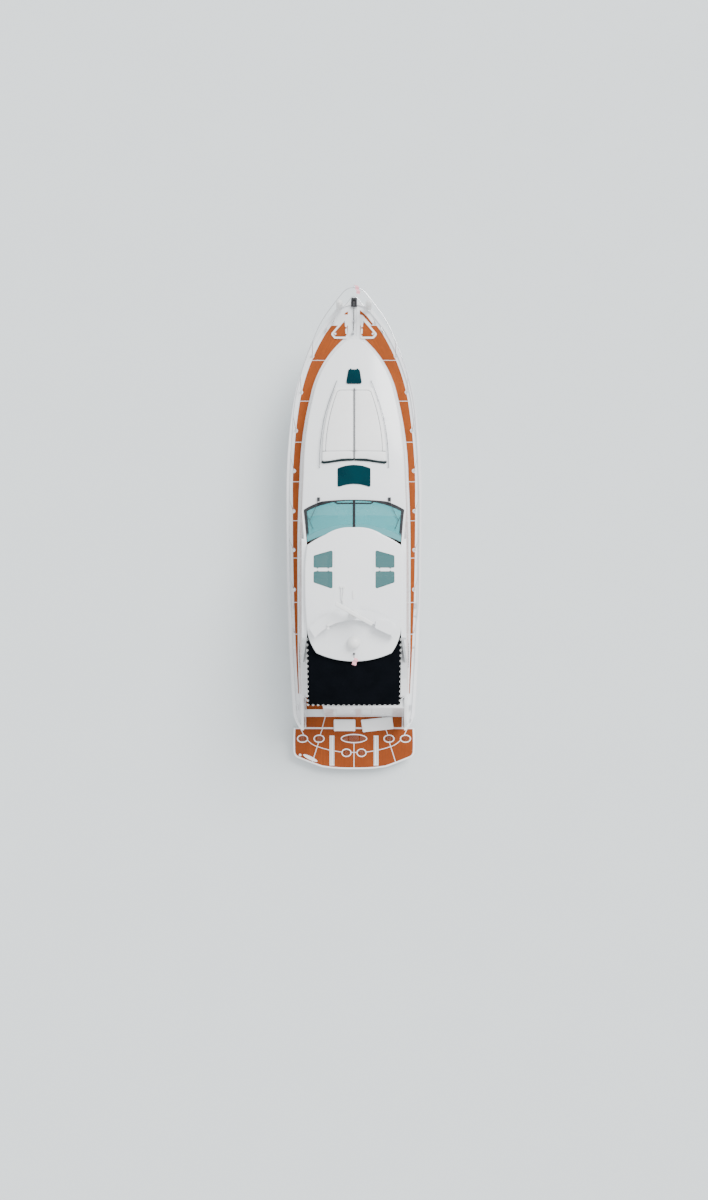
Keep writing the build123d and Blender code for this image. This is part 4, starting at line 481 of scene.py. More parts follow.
def heightAt(node, x, y, top=farAbove):
    # where a plumb line meets a piece from above, or None beside it
    hit, normal = castOn(node, (x, y, top), (0, 0, -1))
    return (hit.z, normal) if hit else (None, None)


def onTop(node, x, y, lift, top=farAbove):
    return x, y, heightAt(node, x, y, top)[0] + lift


def spotOn(node, start, way, lift, along=(1, 0, 0)):
    # place, facing and along for a copy that stands where a ray meets a piece
    hit, normal = castOn(node, start, way)
    return tuple(hit + normal * lift), tuple(normal), along


def sideSpot(node, x, z, side, lift):
    return spotOn(node, (x, side * farAside, z), (0, -side, 0), lift)


def uprightSpot(place):
    return place, (0, 0, 1), (1, 0, 0)


def circle(count):
    return [2 * math.pi * k / count for k in range(count)]


def evenly(a, b, count):
    return [a + (b - a) * i / count for i in range(count + 1)]


def tubeFaces(rings, sides, closed=False):
    faces = []
    for i in range(rings if closed else rings - 1):
        a, b = i * sides, ((i + 1) % rings) * sides
        faces += [(a + k, a + (k + 1) % sides, b + (k + 1) % sides, b + k) for k in range(sides)]
    return faces


def tubeMesh(name, points, radius, sides, closed=False, flat=1.0):
    # a round cord through the points, its section squashed in height by flat
    points = [Vector(p) for p in points]
    count = len(points)
    vertices = []
    for i, here in enumerate(points):
        before = points[(i - 1) % count] if closed or i else here
        after = points[(i + 1) % count] if closed or i < count - 1 else here
        ahead = (after - before).normalized()
        side = ahead.cross(Vector((0, 0, 1)))
        if side.length < nearlyPlumb:
            side = Vector((0, 1, 0))
        side.normalize()
        up = side.cross(ahead).normalized()
        vertices += [here + side * math.cos(t) * radius + up * math.sin(t) * radius * flat
                     for t in circle(sides)]
    faces = tubeFaces(count, sides, closed)
    if not closed:
        faces += [tuple(range(sides))[::-1], tuple((count - 1) * sides + k for k in range(sides))]
    mesh = closedNormals(meshFrom(name, vertices, faces))
    softEdges(mesh, sharpOver["tubes"])
    return mesh


def joinMeshes(name, parts):
    work = bmesh.new()
    for part in parts:
        work.from_mesh(part)
    return meshOf(work, name)


def boxMesh(name, low, high, edge, steps=3):
    work = bmesh.new()
    bmesh.ops.create_cube(work, size=1.0)
    size = [h - l for l, h in zip(low, high)]
    for vertex in work.verts:
        vertex.co = Vector([(l + h) / 2 + c * s for l, h, c, s in zip(low, high, vertex.co, size)])
    bmesh.ops.bevel(work, geom=work.edges, offset=edge, segments=steps, profile=0.5, affect="EDGES",
                    clamp_overlap=True)
    mesh = meshOf(work, name)
    softEdges(mesh)
    return mesh


# share of the outline and of the height, from the foot of a cap or plate to its face
capProfile = ((1.0, 0.0), (1.0, 0.7), (0.82, 1.0))
plateProfile = ((1.0, 0.0), (1.0, 0.6), (0.95, 1.0))


def ovalPlate(name, longHalf, wideHalf, high, sides, profile=plateProfile):
    # a low plate with a softened edge, standing on its origin
    vertices = [(share * longHalf * math.cos(t), share * wideHalf * math.sin(t), z * high)
                for share, z in profile for t in circle(sides)]
    faces = [tuple(range(sides))[::-1], tuple(2 * sides + k for k in range(sides))]
    mesh = closedNormals(meshFrom(name, vertices, faces + tubeFaces(3, sides)))
    softEdges(mesh)
    return mesh


def discMesh(name, radius, high, sides):
    return ovalPlate(name, radius, radius, high, sides, capProfile)


def ringMesh(name, longHalf, wideHalf, cord, around, sides, lift=0.0):
    points = [(longHalf * math.cos(t), wideHalf * math.sin(t), lift) for t in circle(around)]
    return tubeMesh(name, points, cord, sides, closed=True)


def gridFaces(rows, columns):
    wide = columns + 1
    return [(i * wide + j, i * wide + j + 1, (i + 1) * wide + j + 1, (i + 1) * wide + j)
            for i in range(rows) for j in range(columns)]


def stepsAlong(a, b, pitch):
    # points from a to b in plan, about one pitch apart
    count = max(1, int(math.hypot(b[0] - a[0], b[1] - a[1]) / pitch))
    return list(zip(evenly(a[0], b[0], count), evenly(a[1], b[1], count)))


def thickenCloth(piece, thick):
    body = piece.modifiers.new("cloth", "SOLIDIFY")
    body.thickness = thick
    body.offset = 0


# Geometry Nodes that repeat a small piece

def newCopyTree(name, **extra):
    tree = bpy.data.node_groups.new(name, "GeometryNodeTree")
    kinds = {"Geometry": "NodeSocketGeometry", "Copy": "NodeSocketObject", "Material": "NodeSocketMaterial"}
    sockets = {label: tree.interface.new_socket(label, in_out="INPUT", socket_type=kind).identifier
               for label, kind in {**kinds, **extra}.items()}
    tree.interface.new_socket("Geometry", in_out="OUTPUT", socket_type="NodeSocketGeometry")
    return tree, sockets, tree.nodes.new("NodeGroupInput").outputs


def align(tree, axis, vector, rotation=None, **pivot):
    links = {"Vector": vector, **({"Rotation": rotation} if rotation else {})}
    return addNode(tree, "FunctionNodeAlignRotationToVector", links, axis=axis, **pivot).outputs[0]


def placeCopies(tree, enter, points, rotation):
    # copies made real, with the material that the tree is given
    copy = addNode(tree, "GeometryNodeObjectInfo", {"Object": enter["Copy"]}).outputs["Geometry"]
    placed = addNode(tree, "GeometryNodeInstanceOnPoints",
                     {"Points": points, "Instance": copy, "Rotation": rotation})
    real = addNode(tree, "GeometryNodeRealizeInstances", {"Geometry": placed.outputs[0]})
    finish = addNode(tree, "GeometryNodeSetMaterial",
                     {"Geometry": real.outputs[0], "Material": enter["Material"]})
    tree.links.new(finish.outputs[0], tree.nodes.new("NodeGroupOutput").inputs[0])


def makePointTree():
    # a copy at each point, standing along "facing" and turned to "along"
    tree, sockets, enter = newCopyTree("copiesAtPoints")
    kind = "GeometryNodeInputNamedAttribute"
    facing, along = [addNode(tree, kind, {"Name": label}, data_type="FLOAT_VECTOR").outputs["Attribute"]
                     for label in ("facing", "along")]
    stand = align(tree, "Z", facing)
    placeCopies(tree, enter, enter["Geometry"], align(tree, "X", along, stand, pivot_axis="Z"))
    return tree, sockets


def makeRunTree():
    # copies at even steps along a run, each turned a little further about it
    tree, sockets, enter = newCopyTree("copiesAlongRun", Step="NodeSocketFloat", Twist="NodeSocketFloat")
    run = addNode(tree, "GeometryNodeMeshToCurve", {0: enter["Geometry"]}).outputs[0]
    even = {"Curve": run, "Length": enter["Step"]}
    steps = addNode(tree, "GeometryNodeResampleCurve", even, mode="LENGTH").outputs[0]
    ahead = align(tree, "X", addNode(tree, "GeometryNodeInputTangent").outputs[0])
    level = align(tree, "Z", (0.0, 0.0, 1.0), ahead, pivot_axis="X")
    angle = maths(tree, "MULTIPLY", addNode(tree, "GeometryNodeInputIndex").outputs[0], enter["Twist"])
    twist = addNode(tree, "FunctionNodeAxisAngleToRotation", {"Axis": (1.0, 0.0, 0.0), "Angle": angle})
    turned = addNode(tree, "FunctionNodeRotateRotation", {"Rotation": level, "Rotate By": twist.outputs[0]},
                     rotation_space="LOCAL")
    placeCopies(tree, enter, steps, turned.outputs[0])
    return tree, sockets


pointTree = makePointTree()
runTree = makeRunTree()


def grown(name, host, copyMesh, made, slot, body="yacht", material=None, **inputs):
    # run one of the trees over a host mesh and keep the result as a plain mesh
    tree, sockets = made
    copy = addObject(name + "Copy", copyMesh)
    source = addObject(name + "Host", host)
    modifier = source.modifiers.new("copies", "NODES")
    modifier.node_group = tree
    for label, value in {"Copy": copy, "Material": material or materials[slot], **inputs}.items():
        modifier[sockets[label]] = value
    source.update_tag()
    mesh = evaluatedMesh(source)
    source.modifiers.remove(modifier)
    bpy.data.objects.remove(source)
    bpy.data.objects.remove(copy)
    softEdges(mesh, sharpOver["copies"])
    return newPiece(name, mesh, slot, body, material)


def copiesAt(name, spots, copyMesh, slot, body="yacht"):
    # spots: place, facing and along for each copy
    host = bpy.data.meshes.new(name + "Points")
    host.from_pydata([place for place, _, _ in spots], [], [])
    for label, column in (("facing", 1), ("along", 2)):
        data = host.attributes.new(label, "FLOAT_VECTOR", "POINT").data
        for i, spot in enumerate(spots):
            data[i].vector = spot[column]
    return grown(name, host, copyMesh, pointTree, slot, body)


def copiesAlong(name, runs, copyMesh, step, twist, slot, material):
    host = bpy.data.meshes.new(name + "Run")
    vertices, edges = [], []
    for run in runs:
        start = len(vertices)
        vertices += [tuple(p) for p in run]
        edges += [(start + i, start + i + 1) for i in range(len(run) - 1)]
    host.from_pydata(vertices, edges, [])
    return grown(name, host, copyMesh, runTree, slot, material=material, Step=step, Twist=twist)


# Rounded copies of moulded pieces, with the edges that their moulds give them

roundedPieces = {
    "transom_moulding": 0.018, "radar_wing": 0.030, "helm_console": 0.020, "wet_bar": 0.012,
    "saloon_table": 0.008, "bow_locker_lid_port": 0.006, "bow_locker_lid_starboard": 0.006,
    "transom_door": 0.008, "awning_frame": 0.003, "deck_skylight": 0.006, "foredeck_hatch": 0.005,
    "radar_pedestal": 0.012, "wipers": 0.004, "windlass": 0.003,
}
roundedSettings = {"flat": 0.4, "segments": 3, "sharp": 35, "smooth": 30}


def roundedCopy(node, width, s):
    work = bmeshOf(nodes[node].data, mergeGapCad)
    bmesh.ops.dissolve_limit(work, angle_limit=math.radians(s["flat"]), verts=work.verts, edges=work.edges)
    mesh = meshOf(work, node + "Rounded")
    piece = newPiece(node + "_rounded", mesh, slotOf[node], bodyOf[node], nodes[node].data.materials[0])
    bevel = piece.modifiers.new("mouldEdge", "BEVEL")
    bevel.width = width
    bevel.segments = s["segments"]
    bevel.limit_method = "ANGLE"
    bevel.angle_limit = math.radians(s["sharp"])
    softEdges(mesh, s["smooth"])
    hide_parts(node)


for node, width in roundedPieces.items():
    roundedCopy(node, width, roundedSettings)
print("moulded pieces rounded")


# Cushions: a remeshed shape filled by a short cloth simulation, all of them in one run

cushionSettings = {
    "frames": 16, "relax": 2, "under": -0.55, "upper": 0.2, "creaseReach": 3,
    "cloth": {"quality": 4, "mass": 0.3, "tension_stiffness": 12, "compression_stiffness": 12,
              "shear_stiffness": 8, "bending_stiffness": 0.6, "use_pressure": True},
}
waiting = []


def newCushion(name, shape, own, node, slot=None):
    # shape: a closed mesh that stands for the node, or for a share of it
    # own: voxel size, cap on movement, fill, pressure, and whether the underside lies flat
    slot = slot or slotOf[node]
    obj = newPiece(name, shape, slot, bodyOf[node])
    remesh = obj.modifiers.new("even", "REMESH")
    remesh.mode = "VOXEL"
    remesh.voxel_size = own["voxel"]
    mesh = evaluatedMesh(obj)
    obj.modifiers.clear()
    obj.data = mesh
    mesh.materials.clear()
    mesh.materials.append(materials[slot])
    work = bmeshOf(mesh)
    for _ in range(cushionSettings["relax"]):
        bmesh.ops.smooth_vert(work, verts=work.verts, factor=0.5, use_axis_x=True, use_axis_y=True,
                              use_axis_z=True)
    store(work, mesh)
    waiting.append((obj, own))
    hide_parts(node)


def addCloth(obj, own, s):
    cloth = obj.modifiers.new("filling", "CLOTH")
    for key, value in s["cloth"].items():
        setattr(cloth.settings, key, value)
    cloth.settings.uniform_pressure_force = own["pressure"]
    cloth.settings.effector_weights.gravity = 0
    cloth.collision_settings.use_collision = False
    cloth.point_cache.frame_start = 1
    cloth.point_cache.frame_end = s["frames"]


def fillCushions(s):
    scene = bpy.context.scene
    starts = [[v.co.copy() for v in obj.data.vertices] for obj, _ in waiting]
    for obj, own in waiting:
        addCloth(obj, own, s)
    for step in range(1, s["frames"] + 1):
        scene.frame_set(step)
    graph = bpy.context.evaluated_depsgraph_get()
    for (obj, own), start in zip(waiting, starts):
        mesh = obj.data
        moved = [v.co.copy() for v in obj.evaluated_get(graph).data.vertices]
        normals = [n.vector.copy() for n in mesh.vertex_normals]
        obj.modifiers.clear()
        liesFlat = own.get("liesFlat", True)
        for vertex, normal, before, after in zip(mesh.vertices, normals, start, moved):
            step = after - before
            if step.length > own["cap"]:
                step *= own["cap"] / step.length
            if liesFlat and normal.z < s["under"]:
                step = Vector((step.x, step.y, 0.0))
            place = before + step
            if liesFlat:
                place.z = max(place.z, before.z)
            vertex.co = place
        for line in own.get("creases", ()):
            sinkCrease(mesh, line, own["crease"], own["creaseWide"], s)
        mesh.shade_smooth()
        smooth = obj.modifiers.new("smooth", "SUBSURF")
        smooth.levels = smooth.render_levels = 1
    scene.frame_set(1)


def gapTo(here, a, b):
    # distance in plan from a point to the line from a to b
    run = (b[0] - a[0], b[1] - a[1])
    share = ((here.x - a[0]) * run[0] + (here.y - a[1]) * run[1]) / (run[0] ** 2 + run[1] ** 2)
    share = max(0.0, min(1.0, share))
    return math.hypot(here.x - a[0] - share * run[0], here.y - a[1] - share * run[1])


def sinkCrease(mesh, line, depth, width, s):
    # press the cover in along a line in plan, on the upper side
    for vertex, normal in zip(mesh.vertices, [n.vector.copy() for n in mesh.vertex_normals]):
        if normal.z < s["upper"]:
            continue
        gap = min(gapTo(vertex.co, a, b) for a, b in zip(line, line[1:]))
        if gap < s["creaseReach"] * width:
            vertex.co.z -= depth * math.exp(-(gap / width) ** 2)


def shrunkCopy(node, amount):
    # merged copy of a soft solid, drawn in a little so that it has room to fill
    work = bmeshOf(nodes[node].data, mergeGapCad)
    bmesh.ops.recalc_face_normals(work, faces=work.faces)
    for vertex in work.verts:
        vertex.co = vertex.co - vertex.normal * amount
    return meshOf(work, node + "Core")


# Sunpad on the coachroof: two halves with a stitched panel set in from the edge

sunpad = {
    "voxel": 0.022, "cap": 0.016, "fill": 0.75, "pressure": 3.0, "inset": 0.010,
    "frontSeamX": 4.735, "crossSeamX": 2.72, "seamIn": 0.135, "middleGap": 0.012, "seamSteps": 24,
    "cornerBack": 0.06, "cornerIn": (0.09, 0.035), "cornerDrop": 0.015, "tailIn": 0.03,
    "crease": 0.009, "creaseWide": 0.02, "pipe": 0.007, "pipeSunk": 0.003, "pipePitch": 0.05,
    # split: the black tube of painted shade in the gap between the halves
    "splitX": (4.80, 2.46), "splitSteps": 40, "split": 0.011, "splitBeside": 0.03, "splitDrop": 0.012,
    # half width of the outer edge at x, as in the solid
    "edge": ((4.86, 0.615), (3.8, 0.935), (2.4, 1.055)),
}


def arcHalf(rows, x):
    # half width on a smooth line through three rows of x and half width
    (x0, y0), (x1, y1), (x2, y2) = rows
    a = (x - x1) * (x - x2) / ((x0 - x1) * (x0 - x2))
    b = (x - x0) * (x - x2) / ((x1 - x0) * (x1 - x2))
    c = (x - x0) * (x - x1) / ((x2 - x0) * (x2 - x1))
    return a * y0 + b * y1 + c * y2


def sunpadSeams(side, s):
    front, cross, back = s["frontSeamX"], s["crossSeamX"], s["cornerBack"]
    long = [(x, side * (arcHalf(s["edge"], x) - s["seamIn"]))
            for x in evenly(front - back, cross, s["seamSteps"])]
    corner = arcHalf(s["edge"], front) - s["seamIn"]
    wideIn, lastIn = s["cornerIn"]
    head = [(front, side * s["middleGap"]), (front, side * (corner - wideIn)),
            (front - s["cornerDrop"], side * (corner - lastIn))]
    tail = [(cross, side * s["middleGap"]), (cross, side * (arcHalf(s["edge"], cross) - s["tailIn"]))]
    return [head + long, tail]


def makePiping(name, lines, node, s):
    # thin piping laid along lines in plan on a cushion's upper side
    parts = []
    for line in lines:
        dense = []
        for a, b in zip(line, line[1:]):
            dense += stepsAlong(a, b, s["pipePitch"])[:-1]
        points = []
        for x, y in dense + [line[-1]]:
            z, _ = heightAt(node, x, y)
            if z is not None:
                points.append((x, y, z - s["pipeSunk"]))
        parts.append(tubeMesh(name, points, s["pipe"], sides=6))
    newPiece(name, joinMeshes(name, parts), "white_vinyl", material=pipingCloth)


for side, word in bothSides:
    node = "sunpad_" + word
    newCushion("sunpadCushion_" + word, shrunkCopy(node, sunpad["inset"]),
               {**sunpad, "creases": sunpadSeams(side, sunpad)}, node)


# Two loose cushions on the platform, drawn as one node and parted at the gap between them

looseSettings = {"voxel": 0.012, "cap": 0.014, "fill": 0.7, "pressure": 4.0, "inset": 0.008, "gapY": -0.14}
core = shrunkCopy("platform_cushions", looseSettings["inset"])
for side, word in bothSides:
    half = bmeshOf(core)
    drop = [face for face in half.faces if (face.calc_center_median().y - looseSettings["gapY"]) * side < 0]
    bmesh.ops.delete(half, geom=drop, context="FACES")
    newCushion("platformCushion_" + word, meshOf(half, "looseCushion"), looseSettings, "platform_cushions")
print("cushions laid out")


# Seats inside: plinths and separate cushions that stand for the plain solids

seatSettings = {"voxel": 0.018, "cap": 0.014, "fill": 0.8, "pressure": 4.0, "inset": 0.008, "edge": 0.03}
berthSettings = {"voxel": 0.04, "cap": 0.014, "fill": 0.7, "pressure": 2.0, "inset": 0.008}
plinthEdge = 0.012
# name, node, low corner, high corner
plinths = (
    ("helmPlinth", "helm_seat", (-1.15, -1.45, 1.0603), (-0.70, -0.50, 1.56)),
    ("helmPan", "helm_seat", (-1.23, -1.54, 1.56), (-0.62, -0.41, 1.605)),
    ("setteeBase", "settee", (-2.90, 0.90, 1.0603), (-0.60, 1.684, 1.50)),
    ("aftSeatBase", "aft_seat", (-5.329, -1.684, 1.0603), (-4.73, 1.02, 1.40)),
)
cushionBoxes = [
    ("helmSquab", "helm_seat", (-1.22, -1.53, 1.607), (-0.63, -0.42, 1.70)),
    ("helmBack0", "helm_seat", (-1.33, -1.54, 1.66), (-1.19, -0.985, 2.255)),
    ("helmBack1", "helm_seat", (-1.33, -0.965, 1.66), (-1.19, -0.41, 2.255)),
]
setteeRow = {"start": -2.89, "pitch": 0.762, "wide": 0.755}
aftRow = {"start": -1.67, "pitch": 0.897, "wide": 0.888}
for i in range(3):
    x0 = setteeRow["start"] + i * setteeRow["pitch"]
    x1 = x0 + setteeRow["wide"]
    cushionBoxes.append((f"setteeSquab{i}", "settee", (x0, 0.89, 1.502), (x1, 1.46, 1.60)))
    cushionBoxes.append((f"setteeBack{i}", "settee", (x0, 1.48, 1.51), (x1, 1.68, 2.05)))
for i in range(3):
    y0 = aftRow["start"] + i * aftRow["pitch"]
    y1 = y0 + aftRow["wide"]
    cushionBoxes.append((f"aftSquab{i}", "aft_seat", (-5.325, y0, 1.402), (-4.745, y1, 1.495)))
for name, node, low, high in plinths:
    piece = newPiece(name, boxMesh(name, low, high, plinthEdge), "gelcoat_deck", bodyOf[node])
    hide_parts(node)
for name, node, low, high in cushionBoxes:
    inset = seatSettings["inset"]
    mesh = boxMesh(name, [v + inset for v in low], [v - inset for v in high], seatSettings["edge"], steps=2)
    newCushion(name, mesh, {**seatSettings, "liesFlat": "Back" not in name}, node, "cream_leather")
berthCore = shrunkCopy("cabin_berth", berthSettings["inset"])
newCushion("berthCushion", berthCore, berthSettings, "cabin_berth")
fillCushions(cushionSettings)
print("cushions filled")

for side, word in bothSides:
    makePiping("sunpadPiping_" + word, sunpadSeams(side, sunpad), "sunpad_" + word, sunpad)


# painted shade: a black tube laid in the gap between the sunpad halves, where the gap is dark
def makeGapShade(s):
    # the middle lies in the gap between the halves, so the height is read beside it
    points = [(x, 0.0, heightAt("sunpad_port", x, s["splitBeside"])[0] - s["splitDrop"])
              for x in evenly(*s["splitX"], s["splitSteps"])]
    newPiece("sunpadSplit", tubeMesh("sunpadSplit", points, s["split"], sides=8), "black_frame")


makeGapShade(sunpad)


# Awning: one stretched sheet with laced edges

awningSettings = {
    "aftX": -5.47, "foreX": -3.175, "half": 1.48, "under": 0.006, "inside": 0.004, "top": 4.6,
    "sag": 0.020, "sagLong": 0.8, "pucker": 0.006, "puckerReach": 0.10, "lacePitch": 0.16,
    "hem": 0.012, "hemIn": 0.01, "hemPitch": 0.04, "hemFlat": 0.35, "thick": 0.0025,
    "loopLong": 0.060, "loopWide": 0.046, "loopCord": 0.0065, "loopOut": 0.006, "loopLift": 0.003,
    "acrossSteps": 74, "alongSteps": 58,
}


def awningHeight(s, x, y):
    # just under the solid, with a sag between the bows and a pucker at each lacing
    inX = min(max(x, s["aftX"] + s["inside"]), s["foreX"] - s["inside"])
    inY = min(max(y, s["inside"] - s["half"]), s["half"] - s["inside"])
    z = heightAt("awning", inX, inY, s["top"])[0] - s["under"]
    along = (x - s["aftX"]) / (s["foreX"] - s["aftX"])
    if along < s["sagLong"]:
        z -= s["sag"] * math.sin(math.pi * along / s["sagLong"]) * (1 - (y / s["half"]) ** 2)
    for gap, place in ((s["half"] - abs(y), x), (x - s["aftX"], y)):
        wave = 0.5 + 0.5 * math.cos(2 * math.pi * place / s["lacePitch"])
        z -= s["pucker"] * math.exp(-gap / s["puckerReach"]) * wave
    return z


def makeAwning(s):
    rows, columns = s["alongSteps"], s["acrossSteps"]
    vertices = [(x, y, awningHeight(s, x, y)) for x in evenly(s["aftX"], s["foreX"], rows)
                for y in evenly(-s["half"], s["half"], columns)]
    mesh = meshFrom("awningSheet", vertices, gridFaces(rows, columns))
    mesh.flip_normals()
    mesh.shade_smooth()
    sheet = newPiece("awningSheet", mesh, "black_canvas")
    thickenCloth(sheet, s["thick"])
    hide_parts("awning")
    side, aft = s["half"] - s["hemIn"], s["aftX"] + s["hemIn"]
    edge = [(s["foreX"], -side), (aft, -side), (aft, side), (s["foreX"], side)]
    runs = [[(x, y, awningHeight(s, x, y)) for x, y in stepsAlong(a, b, s["hemPitch"])]
            for a, b in zip(edge, edge[1:])]
    tubes = [tubeMesh("hem", run, s["hem"], sides=8, flat=s["hemFlat"]) for run in runs]
    hem = newPiece("awningHem", joinMeshes("awningHem", tubes), "black_canvas")
    loop = ringMesh("lacingLoop", s["loopLong"] / 2, s["loopWide"] / 2, s["loopCord"], around=12, sides=6,
                    lift=s["loopLift"])
    raised = [[(x, y, z + s["loopOut"]) for x, y, z in run] for run in runs]
    loops = copiesAlong("awningLacing", raised, loop, s["lacePitch"], 0.0, "white_casing", whiteCord)


makeAwning(awningSettings)
print("awning made")


# Pennants on the two staffs: cloth that hangs in even folds

pennants = (
    {"name": "bowPennant", "node": "guard_rails", "long": 0.34, "drop": 0.20, "turn": 195, "lean": 38,
     "waves": 2.2, "depth": 0.75},
    {"name": "sternPennant", "node": "ensign_staff", "long": 0.26, "drop": 0.18, "turn": 158, "lean": 48,
     "waves": 1.8, "depth": 0.7},
)
pennantSettings = {"columns": 28, "rows": 14, "offStaff": 0.005, "belowTop": 0.012, "thick": 0.0015}


def makePennant(own, s):
    peak = max((v.co.copy() for v in nodes[own["node"]].data.vertices), key=lambda co: co.z)
    start = Vector((peak.x - s["offStaff"], 0.0, peak.z - s["belowTop"]))
    heading, lean = math.radians(own["turn"]), math.radians(own["lean"])
    out = Vector((math.cos(heading), math.sin(heading), 0))
    beside = Vector((-math.sin(heading), math.cos(heading), 0))
    down = beside * math.sin(lean) - Vector((0, 0, math.cos(lean)))
    across = out.cross(down)
    columns, rows = s["columns"], s["rows"]
    x, y, line = 0.0, 0.0, [(0.0, 0.0)]
    for i in range(columns):
        angle = own["depth"] * math.sin(2 * math.pi * own["waves"] * (i + 0.5) / columns)
        x += own["long"] / columns * math.cos(angle)
        y += own["long"] / columns * math.sin(angle)
        line.append((x, y))
    vertices = [start + out * u + across * v + down * (own["drop"] * j / rows)
                for u, v in line for j in range(rows + 1)]
    cloth = meshFrom(own["name"], vertices, gridFaces(columns, rows))
    cloth.shade_smooth()
    piece = newPiece(own["name"], cloth, "white_vinyl", bodyOf[own["node"]], flagCloth)
    thickenCloth(piece, s["thick"])


for pennant in pennants:
    makePennant(pennant, pennantSettings)
print("pennants hung")


# Anchor chain in its channel, from the windlass to the stem roller

chainSettings = {
    "fore": 7.70, "aft": 6.79, "steps": 30, "aside": 0.02, "lift": 0.016, "riseFrom": 7.35, "rise": 0.085,
    "linkLong": 0.026, "linkWide": 0.016, "wire": 0.0055, "pitch": 0.033,
}


def makeChain(s):
    points = []
    for x, y in zip(evenly(s["aft"], s["fore"], s["steps"]), evenly(s["aside"], 0.0, s["steps"])):
        risen = max(0.0, (x - s["riseFrom"]) / (s["fore"] - s["riseFrom"]))
        points.append((x, y, heightAt("deck", x, 0.0)[0] + s["lift"] + s["rise"] * risen))
    link = ringMesh("chainLink", s["linkLong"], s["linkWide"], s["wire"], around=14, sides=6)
    copiesAlong("anchorChain", [points], link, s["pitch"], math.pi / 2, "polished_steel", galvanised)


makeChain(chainSettings)


# Bolt heads round the stanchion feet, and a round catch on each bow locker lid

boltSettings = {
    "stanchions": ((5.98, 1.388), (4.81, 1.76), (3.55, 1.94), (2.22, 2.01), (0.88, 2.035), (-0.42, 2.035),
                   (-1.75, 2.025), (7.04, 0.70)),
    "ring": 0.031, "head": 0.006, "headHigh": 0.004, "each": 4, "baseHigh": 0.016, "top": 3.2,
    "lockerCap": (6.699, 0.620), "capRadius": 0.034, "capHigh": 0.010, "capSunk": 0.001,
}


def makeBolts(s):
    spots = []
    for x, y in s["stanchions"]:
        for side in (1, -1):
            for k in range(s["each"]):
                turn = 2 * math.pi * (k + 0.5) / s["each"]
                px, py = x + s["ring"] * math.cos(turn), side * y + s["ring"] * math.sin(turn)
                spots.append(uprightSpot(onTop("deck", px, py, s["baseHigh"], s["top"])))
    head = discMesh("boltHead", s["head"], s["headHigh"], sides=10)
    copiesAt("deckBolts", spots, head, "polished_steel")
    cap = discMesh("lockerCap", s["capRadius"], s["capHigh"], sides=24)
    x, y = s["lockerCap"]
    for side, word in bothSides:
        lid = "bow_locker_lid_" + word
        z, normal = heightAt(lid, x, side * y, s["top"])
        spot = ((x, side * y, z - s["capSunk"]), tuple(normal), (1, 0, 0))
        copiesAt("lockerCap_" + word, [spot], cap, "white_casing", lid)


makeBolts(boltSettings)
print("chain and bolts set")


# Fittings on the swim platform and the transom door

platformFittings = {
    "slotX": (-7.83, -6.86), "slotY": (0.705, 0.801), "slotRadius": 0.006, "slotSteps": 8,
    "slotLift": 0.001, "top": 1.2, "cap": (-7.504, 1.879), "teakTop": 0.462,
    "capRadius": 0.045, "capHigh": 0.008,
    "latchY": 0.36, "latchZ": 0.78, "latchRadius": 0.042, "latchHigh": 0.008, "sunk": 0.001, "behind": -8,
}


def makePlatformFittings(s):
    parts = []
    for y in s["slotY"]:
        for side in (1, -1):
            points = [onTop("swim_platform", x, side * y, s["slotLift"], s["top"])
                      for x in evenly(*s["slotX"], s["slotSteps"])]
            parts.append(tubeMesh("chockSlot", points, s["slotRadius"], sides=8))
    newPiece("chockSlots", joinMeshes("chockSlots", parts), "black_frame", "swim_platform")
    spot = uprightSpot((*s["cap"], s["teakTop"] - s["sunk"]))
    cap = discMesh("platformCap", s["capRadius"], s["capHigh"], sides=28)
    copiesAt("platformCaps", [spot], cap, "white_casing", "swim_platform")
    spots = [spotOn("transom_door", (s["behind"], side * s["latchY"], s["latchZ"]), (1, 0, 0), -s["sunk"],
                    (0, 1, 0)) for side in (1, -1)]
    latch = discMesh("doorLatch", s["latchRadius"], s["latchHigh"], sides=28)
    copiesAt("doorLatches", spots, latch, "polished_steel", "transom_door")


makePlatformFittings(platformFittings)
print("platform fittings set")


# Small windows in the topsides, and louvres low on the cabin sides

portholeSettings = {
    "places": ((5.05, 1.02), (4.15, 0.98), (1.60, 0.86), (0.75, 0.84), (-1.9, 0.80)),
    "longHalf": 0.24, "wideHalf": 0.085, "rim": 0.012, "proud": 0.004, "paneThick": 0.006,
}
louvreSettings = {
    "foreX": -3.62, "step": 0.055, "count": 13, "z": 1.86, "proud": 0.004, "sunk": 0.001,
    "slatLow": (-0.006, -0.075, -0.002), "slatHigh": (0.006, 0.075, 0.014), "slatEdge": 0.003,
    "plateLongHalf": 0.42, "plateWideHalf": 0.10, "plateThick": 0.006,
}


def makePortholes(s):
    spots = [sideSpot("hull", x, z, side, s["proud"]) for x, z in s["places"] for side in (1, -1)]
    rim = ringMesh("portholeRim", s["longHalf"], s["wideHalf"], s["rim"], around=40, sides=8)
    pane = ovalPlate("portholePane", s["longHalf"], s["wideHalf"], s["paneThick"], sides=36)
    copiesAt("portholeRims", spots, rim, "polished_steel")
    copiesAt("portholePanes", spots, pane, "dark_glass")


def makeLouvres(s):
    middleX = s["foreX"] - s["step"] * (s["count"] - 1) / 2
    plates = [sideSpot("cabin_sides", middleX, s["z"], side, -s["sunk"]) for side in (1, -1)]
    spots = [sideSpot("cabin_sides", s["foreX"] - s["step"] * i, s["z"], side, s["proud"])
             for side in (1, -1) for i in range(s["count"])]
    slat = boxMesh("louvreSlat", s["slatLow"], s["slatHigh"], s["slatEdge"], steps=2)
    plate = ovalPlate("louvrePlate", s["plateLongHalf"], s["plateWideHalf"], s["plateThick"], sides=48)
    copiesAt("louvrePlates", plates, plate, "black_frame")
    copiesAt("louvreSlats", spots, slat, "white_casing")


makePortholes(portholeSettings)
makeLouvres(louvreSettings)
print("portholes and louvres set")
